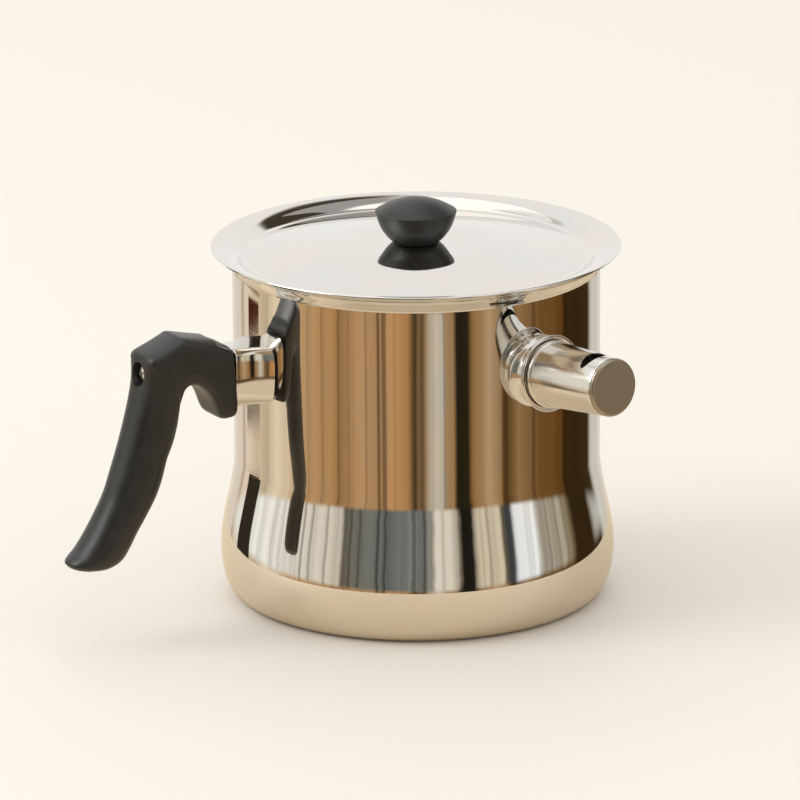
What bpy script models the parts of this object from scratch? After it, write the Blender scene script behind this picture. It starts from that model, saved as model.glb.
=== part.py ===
"""A double-walled whistling milk boiler: pot, water jacket, filler neck, whistle, handle and lid.

Metres, +Z up. The origin is the centre of the base, on the surface that the pot stands on.
The handle points along -X. The filler neck points SPOUT_TURN round from it, past -Y.
"""
from math import cos, pi, radians, sin, sqrt

import bmesh
import bpy
from mathutils import Matrix, Vector

MM = 0.001

# Clearances
GAP = 0.3 * MM              # between pieces that touch or slide
OVERRUN = 4.0 * MM          # how far a cutter runs past what it cuts

# Pot body
BODY_RADIUS = 80.0 * MM     # straight wall, outside
WALL_TOP = 147.3 * MM       # where the wall starts to flare into the pouring rim
WALL_FOOT = 64.0 * MM       # where the straight wall starts to swell into the belly
BELLY_SWELL = 6.3 * MM      # how far the belly stands out from the wall
BELLY_RADIUS = BODY_RADIUS + BELLY_SWELL
BELLY_HEIGHT = 21.0 * MM
FOOT_CURVE = 8.8 * MM       # width of the curve under the belly
FOOT_RADIUS = BELLY_RADIUS - FOOT_CURVE     # where the belly meets the flat bottom
FOOT_LIFT = 0.8 * MM        # the shell's bottom stands this far above the base cap's face
SHELL_SHEET = 0.6 * MM
RIM_BEND = 1.2 * MM         # outer bend radius under the flare
RIM_SLOPE = radians(50.0)
RIM_REACH = 4.5 * MM        # how far the shell's flare stands out from the wall
RIM_RADIUS = BODY_RADIUS + RIM_REACH

# Base
FOOT_RING = 3.1 * MM        # ring of shell round the base capsule
BASE_RECESS_RADIUS = FOOT_RADIUS - FOOT_RING
BASE_RECESS_HEIGHT = 4.9 * MM
BASE_CAP_SHEET = 0.6 * MM
BASE_CAP_CORNER = 1.2 * MM

# Inner pot
JACKET_WIDTH = 7.1 * MM     # water space between the two walls
JACKET_FLOOR = 6.9 * MM     # water space between the two floors
INNER_SHEET = 0.6 * MM
INNER_RADIUS = BODY_RADIUS - SHELL_SHEET - JACKET_WIDTH         # outside of the inner wall
INNER_FLOOR = BASE_RECESS_HEIGHT + SHELL_SHEET + JACKET_FLOOR   # underside of the inner floor
INNER_CORNER = 15.0 * MM
SHOULDER_INSET = 7.3 * MM   # from the wall's top down to the inner pot's shoulder
SHOULDER_TOP = WALL_TOP - SHOULDER_INSET
SHOULDER_DROP = 9.0 * MM

# Filler neck, measured along its own line from the pot's axis
SPOUT_TURN = radians(100.0)
SPOUT_TILT = radians(3.5)
SPOUT_DROP = 28.3 * MM      # from the shoulder's top down to where the line crosses the axis
SPOUT_HEIGHT = SHOULDER_TOP - SPOUT_DROP
NECK_RADIUS = 12.0 * MM
NECK_SHEET = 0.9 * MM
NECK_INSIDE = 3.2 * MM      # how far the neck reaches into the water space
NECK_STRAIGHT = 3.2 * MM    # from the wall to the start of the flare
NECK_REACH = 9.4 * MM       # from the wall to the outer face of the lip
NECK_FLARE = 4.3 * MM
NECK_ROOT = BODY_RADIUS - NECK_INSIDE
NECK_FLARE_START = BODY_RADIUS + NECK_STRAIGHT
NECK_LIP = BODY_RADIUS + NECK_REACH
NECK_LIP_RADIUS = NECK_RADIUS + NECK_FLARE

# Whistle
WHISTLE_SHEET = 0.7 * MM
WHISTLE_OVERSIZE = 2.1 * MM     # how much wider than the neck its mouth is
WHISTLE_TAPER = 1.6 * MM
WHISTLE_LENGTH = 37.9 * MM
WHISTLE_BEAD = 0.7 * MM         # how far the bead at the mouth stands out
WHISTLE_BEAD_LENGTH = 2.4 * MM
WHISTLE_MOUTH = NECK_LIP + GAP
WHISTLE_TIP = WHISTLE_MOUTH + WHISTLE_LENGTH
WHISTLE_MOUTH_RADIUS = NECK_RADIUS + WHISTLE_OVERSIZE
WHISTLE_TIP_RADIUS = WHISTLE_MOUTH_RADIUS - WHISTLE_TAPER
WHISTLE_BEAD_RADIUS = WHISTLE_MOUTH_RADIUS + WHISTLE_BEAD
END_CAP_THICKNESS = 1.7 * MM
END_CAP_ROUND = 1.3 * MM
END_CAP_SKIRT = 4.6 * MM
SLEEVE_SHEET = 0.7 * MM
SLEEVE_REACH = 10.3 * MM        # how far the sleeve plugs into the neck
SLEEVE_ROOT = WHISTLE_MOUTH - SLEEVE_REACH
SLEEVE_SLOT_WIDTH = 1.4 * MM
SLEEVE_SLOT_LENGTH = 7.0 * MM
SLEEVE_SLOTS = 3
STEAM_DISC_SHEET = 0.6 * MM
STEAM_DISC_SKIRT = 3.0 * MM
STEAM_HOLE_RADIUS = 1.6 * MM
STEAM_DISC_INSET = 6.8 * MM     # from the whistle's mouth to the first disc
STEAM_DISC_SPACING = 7.0 * MM
INNER_STEAM_DISC = WHISTLE_MOUTH + STEAM_DISC_INSET
OUTER_STEAM_DISC = INNER_STEAM_DISC + STEAM_DISC_SPACING
WINDOW_INSET = 8.2 * MM         # from the tip back to the middle of the window
WINDOW_PLACE = WHISTLE_TIP - WINDOW_INSET
WINDOW_HALF_LENGTH = 3.1 * MM
WINDOW_HALF_WIDTH = 9.4 * MM

# Handle, measured outwards from the pot's axis and upwards from the base
HANDLE_DROP = 29.3 * MM     # from the wall's top down to the handle screw's line
SCREW_HEIGHT = WALL_TOP - HANDLE_DROP
FERRULE_RISE = 6.0 * MM     # from the screw's line up to the ferrule's top
FERRULE_HEIGHT = 26.0 * MM
FERRULE_LENGTH = 14.7 * MM
FERRULE_TOP = SCREW_HEIGHT + FERRULE_RISE
FERRULE_BOTTOM = FERRULE_TOP - FERRULE_HEIGHT
FERRULE_END = BODY_RADIUS + FERRULE_LENGTH
FERRULE_WALL_HALF_WIDTH = 13.4 * MM
FERRULE_END_HALF_WIDTH = 9.3 * MM
FERRULE_SHEET = 0.8 * MM
FERRULE_FLARE_POWER = 1.35      # 1 is a straight flare, more is a hollow one
FERRULE_TOP_ROUND = 3.4 * MM
FERRULE_BOTTOM_ROUND = 5.0 * MM
GRIP_START = FERRULE_END + GAP
GRIP_REACH = 78.0 * MM      # from the grip's inner end to the toe
GRIP_RISE = 13.0 * MM       # from the screw's line up to the grip's top
GRIP_TOP = SCREW_HEIGHT + GRIP_RISE
GRIP_FALL = 97.7 * MM       # from the grip's top down to its lowest point
GRIP_HALF_WIDTH = 11.2 * MM
BRACKET_FOOT_DROP = 15.0 * MM   # how far the bracket's foot runs down the wall below the screw
BRACKET_FOOT_THICKNESS = 2.4 * MM
TONGUE_HEIGHT = 6.4 * MM
TONGUE_WIDTH = 9.0 * MM
TONGUE_REACH = 17.0 * MM        # how far the tongue keys into the grip
TONGUE_END = GRIP_START + TONGUE_REACH
WASHER_RADIUS = 4.4 * MM
WASHER_THICKNESS = 0.8 * MM
RECESS_RADIUS = WASHER_RADIUS + 3.0 * GAP
RECESS_FLOOR_SHARE = 0.474      # of the grip's reach
RECESS_FLOOR = GRIP_START + GRIP_REACH * RECESS_FLOOR_SHARE
SCREW_RADIUS = 2.0 * MM
SCREW_GRIP = 12.0 * MM          # length of the screw in the tongue
SCREW_TIP = TONGUE_END - SCREW_GRIP
SCREW_HEAD_RADIUS = 3.6 * MM
SCREW_HEAD_HEIGHT = 2.4 * MM

# Lid
LID_SHEET = 0.7 * MM
LID_OVERHANG = 4.7 * MM     # how far the lid reaches past the shell's rim
LID_RADIUS = RIM_RADIUS + LID_OVERHANG
LID_BAND_WIDTH = 13.7 * MM  # the dished band between the crease and the edge
LID_BAND_RISE = 4.8 * MM
LID_CREASE_RADIUS = LID_RADIUS - LID_BAND_WIDTH
LID_DOME_RISE = 5.5 * MM

# Lid knob
KNOB_NECK_RADIUS = 9.5 * MM
KNOB_RADIUS = 17.7 * MM
KNOB_EDGE_HEIGHT = 13.4 * MM    # crisp edge above the knob's foot
KNOB_HEIGHT = 19.2 * MM
INSERT_RADIUS = 4.0 * MM
INSERT_LENGTH = 9.0 * MM
INSERT_FLANGE_RADIUS = 5.4 * MM
INSERT_FLANGE = 1.0 * MM
KNOB_SCREW_RADIUS = 1.75 * MM
KNOB_SCREW_REACH = 6.6 * MM     # above the knob's foot
KNOB_SCREW_HEAD_RADIUS = 3.9 * MM
KNOB_SCREW_HEAD_HEIGHT = 2.2 * MM
KNOB_WASHER_RADIUS = 6.5 * MM
KNOB_WASHER_THICKNESS = 0.8 * MM
LID_HOLE_RADIUS = KNOB_SCREW_RADIUS + 3.0 * GAP

# Facets
BODY_STEPS = 40
SMALL_STEPS = 24
PIN_STEPS = 16

# The grip's back and palm lines and its width, as shares of its reach, fall and half width.
# Each row is one section, from the inner end with its lip, round the elbow and down to the toe:
# back along, back down, palm along, palm down, width.
GRIP_SECTION_SHARES = (
    (0.000, 0.049, 0.000, 0.364, 0.94),
    (0.032, 0.039, 0.036, 0.376, 0.97),
    (0.071, 0.028, 0.077, 0.377, 0.98),
    (0.109, 0.017, 0.115, 0.364, 0.99),
    (0.141, 0.010, 0.151, 0.332, 1.00),
    (0.173, 0.005, 0.182, 0.287, 1.00),
    (0.209, 0.001, 0.212, 0.242, 1.00),
    (0.256, 0.000, 0.242, 0.212, 1.00),
    (0.333, 0.002, 0.268, 0.211, 1.00),
    (0.421, 0.014, 0.286, 0.229, 1.00),
    (0.495, 0.035, 0.295, 0.258, 1.00),
    (0.538, 0.078, 0.299, 0.289, 0.99),
    (0.547, 0.154, 0.300, 0.330, 0.98),
    (0.568, 0.246, 0.313, 0.393, 0.96),
    (0.605, 0.352, 0.341, 0.461, 0.95),
    (0.646, 0.456, 0.379, 0.528, 0.94),
    (0.696, 0.561, 0.409, 0.608, 0.94),
    (0.751, 0.659, 0.446, 0.680, 0.94),
    (0.813, 0.751, 0.503, 0.753, 0.95),
    (0.877, 0.833, 0.567, 0.827, 0.96),
    (0.938, 0.895, 0.618, 0.899, 0.95),
    (0.982, 0.925, 0.669, 0.956, 0.90),
    (1.000, 0.944, 0.750, 0.993, 0.78),
    (0.987, 0.963, 0.853, 0.999, 0.52),
)
# How square each section is, from the inner end. The last value holds down the leg.
GRIP_SQUARE_SHARES = (4.2, 4.2, 4.2, 4.2, 4.2, 4.2, 4.2, 4.0, 3.8, 3.6, 3.4, 3.2, 3.0, 2.8, 2.6)

# The lid's dished band from the crease to the edge, as shares of its width and rise.
LID_BAND_SHARES = (
    (0.00, 0.00),
    (0.11, 0.22),
    (0.25, 0.45),
    (0.44, 0.67),
    (0.68, 0.86),
    (0.86, 0.96),
    (1.00, 1.00),
)

# The knob's bowl from its neck to its crisp edge, as shares of the swell and of the edge's height.
KNOB_BOWL_SHARES = (
    (0.00, 0.00),
    (0.02, 0.07),
    (0.36, 0.17),
    (0.68, 0.40),
    (0.88, 0.68),
    (1.00, 1.00),
)

STEEL = ("polished_steel", (0.80, 0.79, 0.77), 0.05, 1.0)
SATIN = ("satin_steel", (0.60, 0.58, 0.55), 0.34, 1.0)
ALUMINIUM = ("aluminium", (0.78, 0.78, 0.79), 0.38, 1.0)
BAKELITE = ("black_bakelite", (0.018, 0.018, 0.017), 0.42, 0.0)
BRASS = ("brass", (0.72, 0.52, 0.22), 0.30, 1.0)


def material(recipe):
    """The material of one finish, made once."""
    name, colour, roughness, metallic = recipe
    found = bpy.data.materials.get(name)
    if found:
        return found
    made = bpy.data.materials.new(name)
    made.use_nodes = True
    shader = made.node_tree.nodes["Principled BSDF"]
    shader.inputs["Base Color"].default_value = (*colour, 1.0)
    shader.inputs["Roughness"].default_value = roughness
    shader.inputs["Metallic"].default_value = metallic
    made.diffuse_color = (*colour, 1.0)
    return made


def add_object(name, bm, recipe, parent=None):
    """Turn a finished bmesh into a named object with its material."""
    bmesh.ops.recalc_face_normals(bm, faces=bm.faces)
    mesh = bpy.data.meshes.new(name)
    bm.to_mesh(mesh)
    bm.free()
    mesh.materials.append(material(recipe))
    mesh.shade_smooth()
    mesh.set_sharp_from_angle(angle=radians(35.0))
    obj = bpy.data.objects.new(name, mesh)
    bpy.context.scene.collection.objects.link(obj)
    obj.parent = parent
    return obj


def line_empty(name, matrix):
    """An empty whose local +X or +Z is the line that its children are built on."""
    empty = bpy.data.objects.new(name, None)
    bpy.context.scene.collection.objects.link(empty)
    empty.matrix_world = matrix
    return empty


def cut(target, cutter):
    """Cut one object from another and hide the cutter."""
    cutter.hide_render = True
    cutter.display_type = 'WIRE'
    boolean = target.modifiers.new("cut_" + cutter.name, 'BOOLEAN')
    boolean.operation = 'DIFFERENCE'
    boolean.solver = 'EXACT'
    boolean.object = cutter


def arc(centre, radius, start, end, steps):
    """Points of an arc in a profile's plane, both ends included."""
    return [(centre[0] + radius * cos(start + (end - start) * i / steps),
             centre[1] + radius * sin(start + (end - start) * i / steps)) for i in range(steps + 1)]


def offset_line(line, distance):
    """The same line, moved to its left. An end on the turning axis stays on it."""
    moved = []
    for i, (x, y) in enumerate(line):
        normals = []
        for a, b in ((i - 1, i), (i, i + 1)):
            if a >= 0 and b < len(line):
                along = Vector((line[b][0] - line[a][0], line[b][1] - line[a][1])).normalized()
                normals.append(Vector((-along.y, along.x)))
        if len(normals) == 2:
            step = (normals[0] + normals[1]) / (1.0 + normals[0].dot(normals[1]))
        elif x == 0.0:
            step = Vector((0.0, 1.0 if normals[0].y > 0.0 else -1.0))
        else:
            step = normals[0]
        moved.append((x + step.x * distance, y + step.y * distance))
    return moved


def sheet(line, thickness):
    """The closed outline of a sheet: its face, then the other face on the way back."""
    return line + offset_line(line, thickness)[::-1]


def turned(name, outline, recipe, steps, parent=None, move=None):
    """A solid turned round local Z from a closed outline of (radius, height) points."""
    bm = bmesh.new()
    verts = [bm.verts.new((r, 0.0, z)) for r, z in outline]
    for i, vert in enumerate(verts):
        following = verts[(i + 1) % len(verts)]
        if vert.co.x > 0.0 or following.co.x > 0.0:
            bm.edges.new((vert, following))
    bmesh.ops.spin(bm, geom=bm.verts[:] + bm.edges[:], cent=(0, 0, 0), axis=(0, 0, 1),
                   angle=2.0 * pi, steps=steps, use_merge=False)
    bmesh.ops.remove_doubles(bm, verts=bm.verts, dist=0.001 * MM)
    if move:
        bmesh.ops.transform(bm, matrix=move, verts=bm.verts)
    return add_object(name, bm, recipe, parent)


def lofted(name, rings, recipe, parent=None):
    """A solid through rings of points, closed at both ends."""
    bm = bmesh.new()
    rows = [[bm.verts.new(point) for point in ring] for ring in rings]
    count = len(rows[0])
    for low, high in zip(rows, rows[1:]):
        for i in range(count):
            j = (i + 1) % count
            bm.faces.new((low[i], low[j], high[j], high[i]))
    bm.faces.new(rows[0])
    bm.faces.new(rows[-1])
    return add_object(name, bm, recipe, parent)


def block(name, low, high, recipe, parent=None):
    """A plain block between two corners, used for bars and cutters."""
    bm = bmesh.new()
    size = [b - a for a, b in zip(low, high)]
    middle = [(a + b) / 2.0 for a, b in zip(low, high)]
    place = Matrix.Translation(middle) @ Matrix.Diagonal((*size, 1.0))
    bmesh.ops.create_cube(bm, size=1.0, matrix=place)
    return add_object(name, bm, recipe, parent)


def rod(name, radius, start, end, recipe, steps, parent=None, move=None):
    """A plain cylinder along local Z."""
    outline = [(0.0, start), (radius, start), (radius, end), (0.0, end)]
    return turned(name, outline, recipe, steps, parent, move)


def smooth_share(share):
    """An S-shaped share: level at both ends."""
    return share * share * (3.0 - 2.0 * share)


def along_x(height):
    """Carries a piece turned round Z onto a line along +X at a height."""
    return Matrix.Translation((0.0, 0.0, height)) @ Matrix.Rotation(pi / 2.0, 4, 'Y')


def shell_line():
    """Outer face of the outer shell, from the axis out, round the belly and up to the flared rim."""
    line = [(0.0, BASE_RECESS_HEIGHT), (BASE_RECESS_RADIUS, BASE_RECESS_HEIGHT),
            (BASE_RECESS_RADIUS, FOOT_LIFT)]
    steps = 6
    for i in range(steps + 1):
        turn = pi / 2.0 * i / steps
        line.append((FOOT_RADIUS + (BELLY_RADIUS - FOOT_RADIUS) * sin(turn),
                     BELLY_HEIGHT - (BELLY_HEIGHT - FOOT_LIFT) * cos(turn)))
    steps = 7
    for i in range(1, steps + 1):
        share = i / steps
        line.append((BELLY_RADIUS + (BODY_RADIUS - BELLY_RADIUS) * smooth_share(share),
                     BELLY_HEIGHT + (WALL_FOOT - BELLY_HEIGHT) * share))
    return line + rim_line(0.0, 0.0)


def rim_line(inset, beyond):
    """The wall's bend and flare, set in from the shell's outer face, to a point beyond its edge."""
    centre = Vector((BODY_RADIUS + RIM_BEND, WALL_TOP))
    outwards = Vector((cos(RIM_SLOPE), sin(RIM_SLOPE)))
    inwards = Vector((-sin(RIM_SLOPE), cos(RIM_SLOPE)))
    bend_end = centre + inwards * RIM_BEND
    edge = bend_end + outwards * ((RIM_RADIUS - bend_end.x) / outwards.x)
    bend = arc(centre, RIM_BEND + inset, pi, pi / 2.0 + RIM_SLOPE, 3)
    return bend + [tuple(edge + outwards * beyond + inwards * inset)]


def outer_shell():
    """Pressed outer shell, with a recess for the base capsule and a hole for the filler neck."""
    shell = turned("outer_shell", sheet(shell_line(), SHELL_SHEET), STEEL, BODY_STEPS)
    hole = rod("neck_hole", NECK_RADIUS + GAP, NECK_ROOT - OVERRUN, NECK_LIP, STEEL, SMALL_STEPS, spout)
    cut(shell, hole)


def inner_pot_outline():
    """Inner vessel's sheet: round-cornered floor, wall, shoulder and a rim folded over the shell's edge."""
    inset = SHELL_SHEET + GAP
    mouth_radius = BODY_RADIUS - inset
    centre = (INNER_RADIUS - INNER_CORNER, INNER_FLOOR + INNER_CORNER)
    line = [(0.0, INNER_FLOOR)] + arc(centre, INNER_CORNER, -pi / 2.0, 0.0, 4)
    steps = 4
    for i in range(steps + 1):
        share = i / steps
        line.append((INNER_RADIUS + (mouth_radius - INNER_RADIUS) * smooth_share(share),
                     SHOULDER_TOP - SHOULDER_DROP * (1.0 - share)))
    line += rim_line(inset, GAP) + rim_line(0.0, GAP)[-1:]
    return sheet(line, INNER_SHEET)


def inner_pot():
    """Inner vessel, which holds the milk inside the water jacket."""
    turned("inner_pot", inner_pot_outline(), STEEL, BODY_STEPS)


def base():
    """Heat-spreading disc of aluminium, and the steel cap that holds it in the shell's recess."""
    outside = BASE_RECESS_RADIUS - GAP
    top = BASE_RECESS_HEIGHT - GAP
    corner = arc((outside - BASE_CAP_CORNER, BASE_CAP_CORNER), BASE_CAP_CORNER, -pi / 2.0, 0.0, 2)
    line = [(0.0, 0.0)] + corner + [(outside, top)]
    turned("base_cap", sheet(line, BASE_CAP_SHEET), STEEL, BODY_STEPS)
    radius = outside - BASE_CAP_SHEET - GAP
    low = BASE_CAP_SHEET + GAP
    bevel = BASE_CAP_CORNER - BASE_CAP_SHEET
    outline = [(0.0, low), (radius - bevel, low), (radius, low + bevel), (radius, top), (0.0, top)]
    turned("base_spreader", outline, ALUMINIUM, BODY_STEPS)


def filler_neck():
    """Neck through the outer wall into the water jacket, flared to a funnel lip."""
    run = NECK_LIP - NECK_SHEET - NECK_FLARE_START
    rise = NECK_LIP_RADIUS - NECK_RADIUS
    line = [(NECK_RADIUS, NECK_ROOT)]
    steps = 5
    for i in range(steps + 1):
        turn = pi / 2.0 * i / steps
        line.append((NECK_LIP_RADIUS - rise * cos(turn), NECK_FLARE_START + run * sin(turn)))
    turned("filler_neck", sheet(line, NECK_SHEET), STEEL, SMALL_STEPS, spout)


def whistle_radius(place):
    """Outside of the tapered whistle tube at a place along the neck's line."""
    return WHISTLE_MOUTH_RADIUS - WHISTLE_TAPER * (place - WHISTLE_MOUTH) / WHISTLE_LENGTH


def whistle_bore(place):
    return whistle_radius(place) - WHISTLE_SHEET


def neck_bore():
    return NECK_RADIUS - NECK_SHEET


def whistle_body():
    """Tapered whistle tube with a rolled bead at its mouth and a sounding window near its tip."""
    bead_end = WHISTLE_MOUTH + WHISTLE_BEAD_LENGTH
    bead = WHISTLE_BEAD_RADIUS - whistle_radius(bead_end)
    outline = [(whistle_bore(WHISTLE_MOUTH), WHISTLE_MOUTH)]
    steps = 6
    for i in range(steps + 1):
        turn = pi * i / steps
        outline.append((whistle_radius(bead_end) + bead * sin(turn),
                        WHISTLE_MOUTH + WHISTLE_BEAD_LENGTH * (1.0 - cos(turn)) / 2.0))
    outline += [(WHISTLE_TIP_RADIUS, WHISTLE_TIP), (whistle_bore(WHISTLE_TIP), WHISTLE_TIP)]
    tube = turned("whistle_body", outline, STEEL, SMALL_STEPS, spout)
    bm = bmesh.new()
    bmesh.ops.create_cone(bm, cap_ends=True, segments=SMALL_STEPS, radius1=1.0, radius2=1.0,
                          depth=1.0)
    depth = WHISTLE_MOUTH_RADIUS + OVERRUN
    place = (Matrix.Translation((depth / 2.0, 0.0, WINDOW_PLACE)) @ Matrix.Rotation(pi / 2.0, 4, 'Y')
             @ Matrix.Diagonal((WINDOW_HALF_LENGTH, WINDOW_HALF_WIDTH, depth, 1.0)))
    bmesh.ops.transform(bm, matrix=place, verts=bm.verts)
    cut(tube, add_object("window_cut", bm, STEEL, spout))


def whistle_sleeve():
    """Split spring sleeve that plugs into the neck, with a flange inside the whistle's mouth."""
    outside = neck_bore() - GAP
    seat = WHISTLE_MOUTH + WHISTLE_BEAD_LENGTH / 2.0
    line = [(outside, SLEEVE_ROOT), (outside, seat), (whistle_bore(seat) - GAP, seat)]
    sleeve = turned("whistle_sleeve", sheet(line, SLEEVE_SHEET), STEEL, SMALL_STEPS, spout)
    for i in range(SLEEVE_SLOTS):
        low = (0.0, -SLEEVE_SLOT_WIDTH / 2.0, SLEEVE_ROOT - OVERRUN)
        high = (outside + OVERRUN, SLEEVE_SLOT_WIDTH / 2.0, SLEEVE_ROOT + SLEEVE_SLOT_LENGTH)
        slot = block("sleeve_slot_%d" % i, low, high, STEEL, spout)
        slot.rotation_euler = (0.0, 0.0, 2.0 * pi * i / SLEEVE_SLOTS + pi / 2.0)
        cut(sleeve, slot)


def steam_disc(name, place):
    """Pressed cup with one small hole: two of them in line make the whistle sound."""
    skirt_end = place + STEAM_DISC_SKIRT
    rim = whistle_bore(skirt_end) - GAP
    line = [(STEAM_HOLE_RADIUS, place), (rim - STEAM_DISC_SHEET, place),
            (rim, place + STEAM_DISC_SHEET), (rim, skirt_end)]
    turned(name, sheet(line, STEAM_DISC_SHEET), SATIN, SMALL_STEPS, spout)


def whistle_end_cap():
    """Plug with a rounded edge that closes the whistle's tip."""
    low = WHISTLE_TIP + GAP
    face = low + END_CAP_THICKNESS
    skirt = whistle_bore(WHISTLE_TIP) - GAP
    skirt_inside = skirt - WHISTLE_SHEET
    skirt_end = low - END_CAP_SKIRT
    centre = (WHISTLE_TIP_RADIUS - END_CAP_ROUND, face - END_CAP_ROUND)
    outline = [(0.0, low), (skirt_inside, low), (skirt_inside, skirt_end), (skirt, skirt_end),
               (skirt, low), (WHISTLE_TIP_RADIUS, low)]
    outline += arc(centre, END_CAP_ROUND, 0.0, pi / 2.0, 3) + [(0.0, face)]
    turned("whistle_end_cap", outline, SATIN, SMALL_STEPS, spout)


def ferrule_half_width(place):
    """Half width of the ferrule, which flares towards the pot's wall."""
    share = (FERRULE_END - place) / FERRULE_LENGTH
    widening = FERRULE_WALL_HALF_WIDTH - FERRULE_END_HALF_WIDTH
    return FERRULE_END_HALF_WIDTH + widening * share ** FERRULE_FLARE_POWER


def ferrule_ring(place, inset):
    """A box section with rounded corners across the handle's line."""
    half = ferrule_half_width(place) - inset
    ring = []
    for side, height, radius, start in ((1, FERRULE_TOP, FERRULE_TOP_ROUND, 0.0),
                                        (-1, FERRULE_TOP, FERRULE_TOP_ROUND, pi / 2.0),
                                        (-1, FERRULE_BOTTOM, FERRULE_BOTTOM_ROUND, pi),
                                        (1, FERRULE_BOTTOM, FERRULE_BOTTOM_ROUND, 1.5 * pi)):
        up = 1.0 if height == FERRULE_TOP else -1.0
        centre = (side * (half + inset - radius), height - up * radius)
        ring += [Vector((place, y, z)) for y, z in arc(centre, radius - inset, start, start + pi / 2.0, 4)]
    return ring


def ferrule_rings(start, end, inset):
    steps = 6
    return [ferrule_ring(start + (end - start) * i / steps, inset) for i in range(steps + 1)]


def wall_cutter(name):
    """A cylinder that trims a piece to the pot's wall."""
    low = FERRULE_BOTTOM - OVERRUN
    high = FERRULE_TOP + OVERRUN
    return rod(name, BODY_RADIUS + GAP, low, high, STEEL, 2 * BODY_STEPS)


def handle_ferrule():
    """Hollow pressed ferrule between the wall and the grip, open at the wall, with a slot at its end."""
    root = BODY_RADIUS - FERRULE_WALL_HALF_WIDTH / 2.0
    ferrule = lofted("handle_ferrule", ferrule_rings(root, FERRULE_END, 0.0), STEEL, handle)
    hollow = ferrule_rings(root - OVERRUN, FERRULE_END - FERRULE_SHEET, FERRULE_SHEET)
    cut(ferrule, lofted("ferrule_hollow", hollow, STEEL, handle))
    cut(ferrule, wall_cutter("ferrule_wall_cut"))
    low, high = tongue_corners(GAP)
    cut(ferrule, block("ferrule_slot", low, high, STEEL, handle))


def tongue_corners(clearance):
    """Opposite corners of the bracket's tongue, or of the slot that clears it."""
    half = TONGUE_WIDTH / 2.0 + clearance
    rise = TONGUE_HEIGHT / 2.0 + clearance
    low = (BODY_RADIUS, -half, SCREW_HEIGHT - rise)
    high = (TONGUE_END + clearance, half, SCREW_HEIGHT + rise)
    return low, high


def handle_bracket():
    """Steel bracket: a foot on the pot's wall and a threaded tongue that keys the grip."""
    low, high = tongue_corners(0.0)
    root = BODY_RADIUS - BRACKET_FOOT_THICKNESS
    foot = BODY_RADIUS + BRACKET_FOOT_THICKNESS
    toe = SCREW_HEIGHT - BRACKET_FOOT_DROP
    outline = [(root, toe), (foot, toe), (foot, low[2]), (high[0], low[2]), (high[0], high[2]),
               (root, high[2])]
    rings = [[Vector((x, y, z)) for x, z in outline] for y in (low[1], high[1])]
    bracket = lofted("handle_bracket", rings, SATIN, handle)
    cut(bracket, wall_cutter("bracket_wall_cut"))
    thread = rod("thread_hole", SCREW_RADIUS + GAP, SCREW_TIP - GAP, TONGUE_END + OVERRUN, SATIN,
                 PIN_STEPS, handle, along_x(SCREW_HEIGHT))
    cut(bracket, thread)


def grip_point(along, down):
    return Vector((GRIP_START + GRIP_REACH * along, 0.0, GRIP_TOP - GRIP_FALL * down))


def oval_ring(back, palm, half_width, square, count):
    """A rounded section between a back point and a palm point."""
    middle = (back + palm) / 2.0
    reach = (back - palm) / 2.0
    ring = []
    for i in range(count):
        turn = 2.0 * pi * (i + 0.5) / count
        c, s = cos(turn), sin(turn)
        c = abs(c) ** (2.0 / square) * (1.0 if c > 0.0 else -1.0)
        s = abs(s) ** (2.0 / square) * (1.0 if s > 0.0 else -1.0)
        ring.append(middle + reach * c + Vector((0.0, half_width * s, 0.0)))
    return ring


def grip_rings():
    rings = []
    for i, (back_x, back_z, palm_x, palm_z, width) in enumerate(GRIP_SECTION_SHARES):
        square = GRIP_SQUARE_SHARES[min(i, len(GRIP_SQUARE_SHARES) - 1)]
        rings.append(oval_ring(grip_point(back_x, back_z), grip_point(palm_x, palm_z),
                               GRIP_HALF_WIDTH * width, square, 20))
    return rings


def handle_grip():
    """Moulded grip: a lip at the ferrule, an arm over the bracket's tongue, an elbow and a long leg."""
    grip = lofted("handle_grip", grip_rings(), BAKELITE, handle)
    low, high = tongue_corners(GAP)
    pocket = block("grip_pocket", (GRIP_START - OVERRUN, low[1], low[2]), high, BAKELITE, handle)
    cut(grip, pocket)
    line = along_x(SCREW_HEIGHT)
    hole = rod("screw_hole", SCREW_RADIUS + GAP, TONGUE_END, RECESS_FLOOR + GAP, BAKELITE, PIN_STEPS,
               handle, line)
    cut(grip, hole)
    recess = rod("screw_recess", RECESS_RADIUS, RECESS_FLOOR, GRIP_START + GRIP_REACH, BAKELITE,
                 SMALL_STEPS, handle, line)
    cut(grip, recess)


def handle_screw():
    """Pan-head screw from the grip's back into the tongue, on a washer."""
    line = along_x(SCREW_HEIGHT)
    seat = RECESS_FLOOR + GAP + WASHER_THICKNESS + GAP
    top = seat + SCREW_HEAD_HEIGHT
    crown = SCREW_HEAD_HEIGHT / 2.0
    outline = [(0.0, SCREW_TIP), (SCREW_RADIUS - GAP, SCREW_TIP), (SCREW_RADIUS, SCREW_TIP + GAP),
               (SCREW_RADIUS, seat), (SCREW_HEAD_RADIUS, seat), (SCREW_HEAD_RADIUS, top - crown),
               (SCREW_HEAD_RADIUS - crown / 2.0, top - crown / 4.0), (SCREW_HEAD_RADIUS / 2.0, top),
               (0.0, top)]
    turned("handle_screw", outline, STEEL, PIN_STEPS, handle, line)
    low = RECESS_FLOOR + GAP
    hole = SCREW_RADIUS + GAP
    high = low + WASHER_THICKNESS
    ring = [(hole, low), (WASHER_RADIUS, low), (WASHER_RADIUS, high), (hole, high)]
    turned("handle_washer", ring, STEEL, PIN_STEPS, handle, line)


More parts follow.
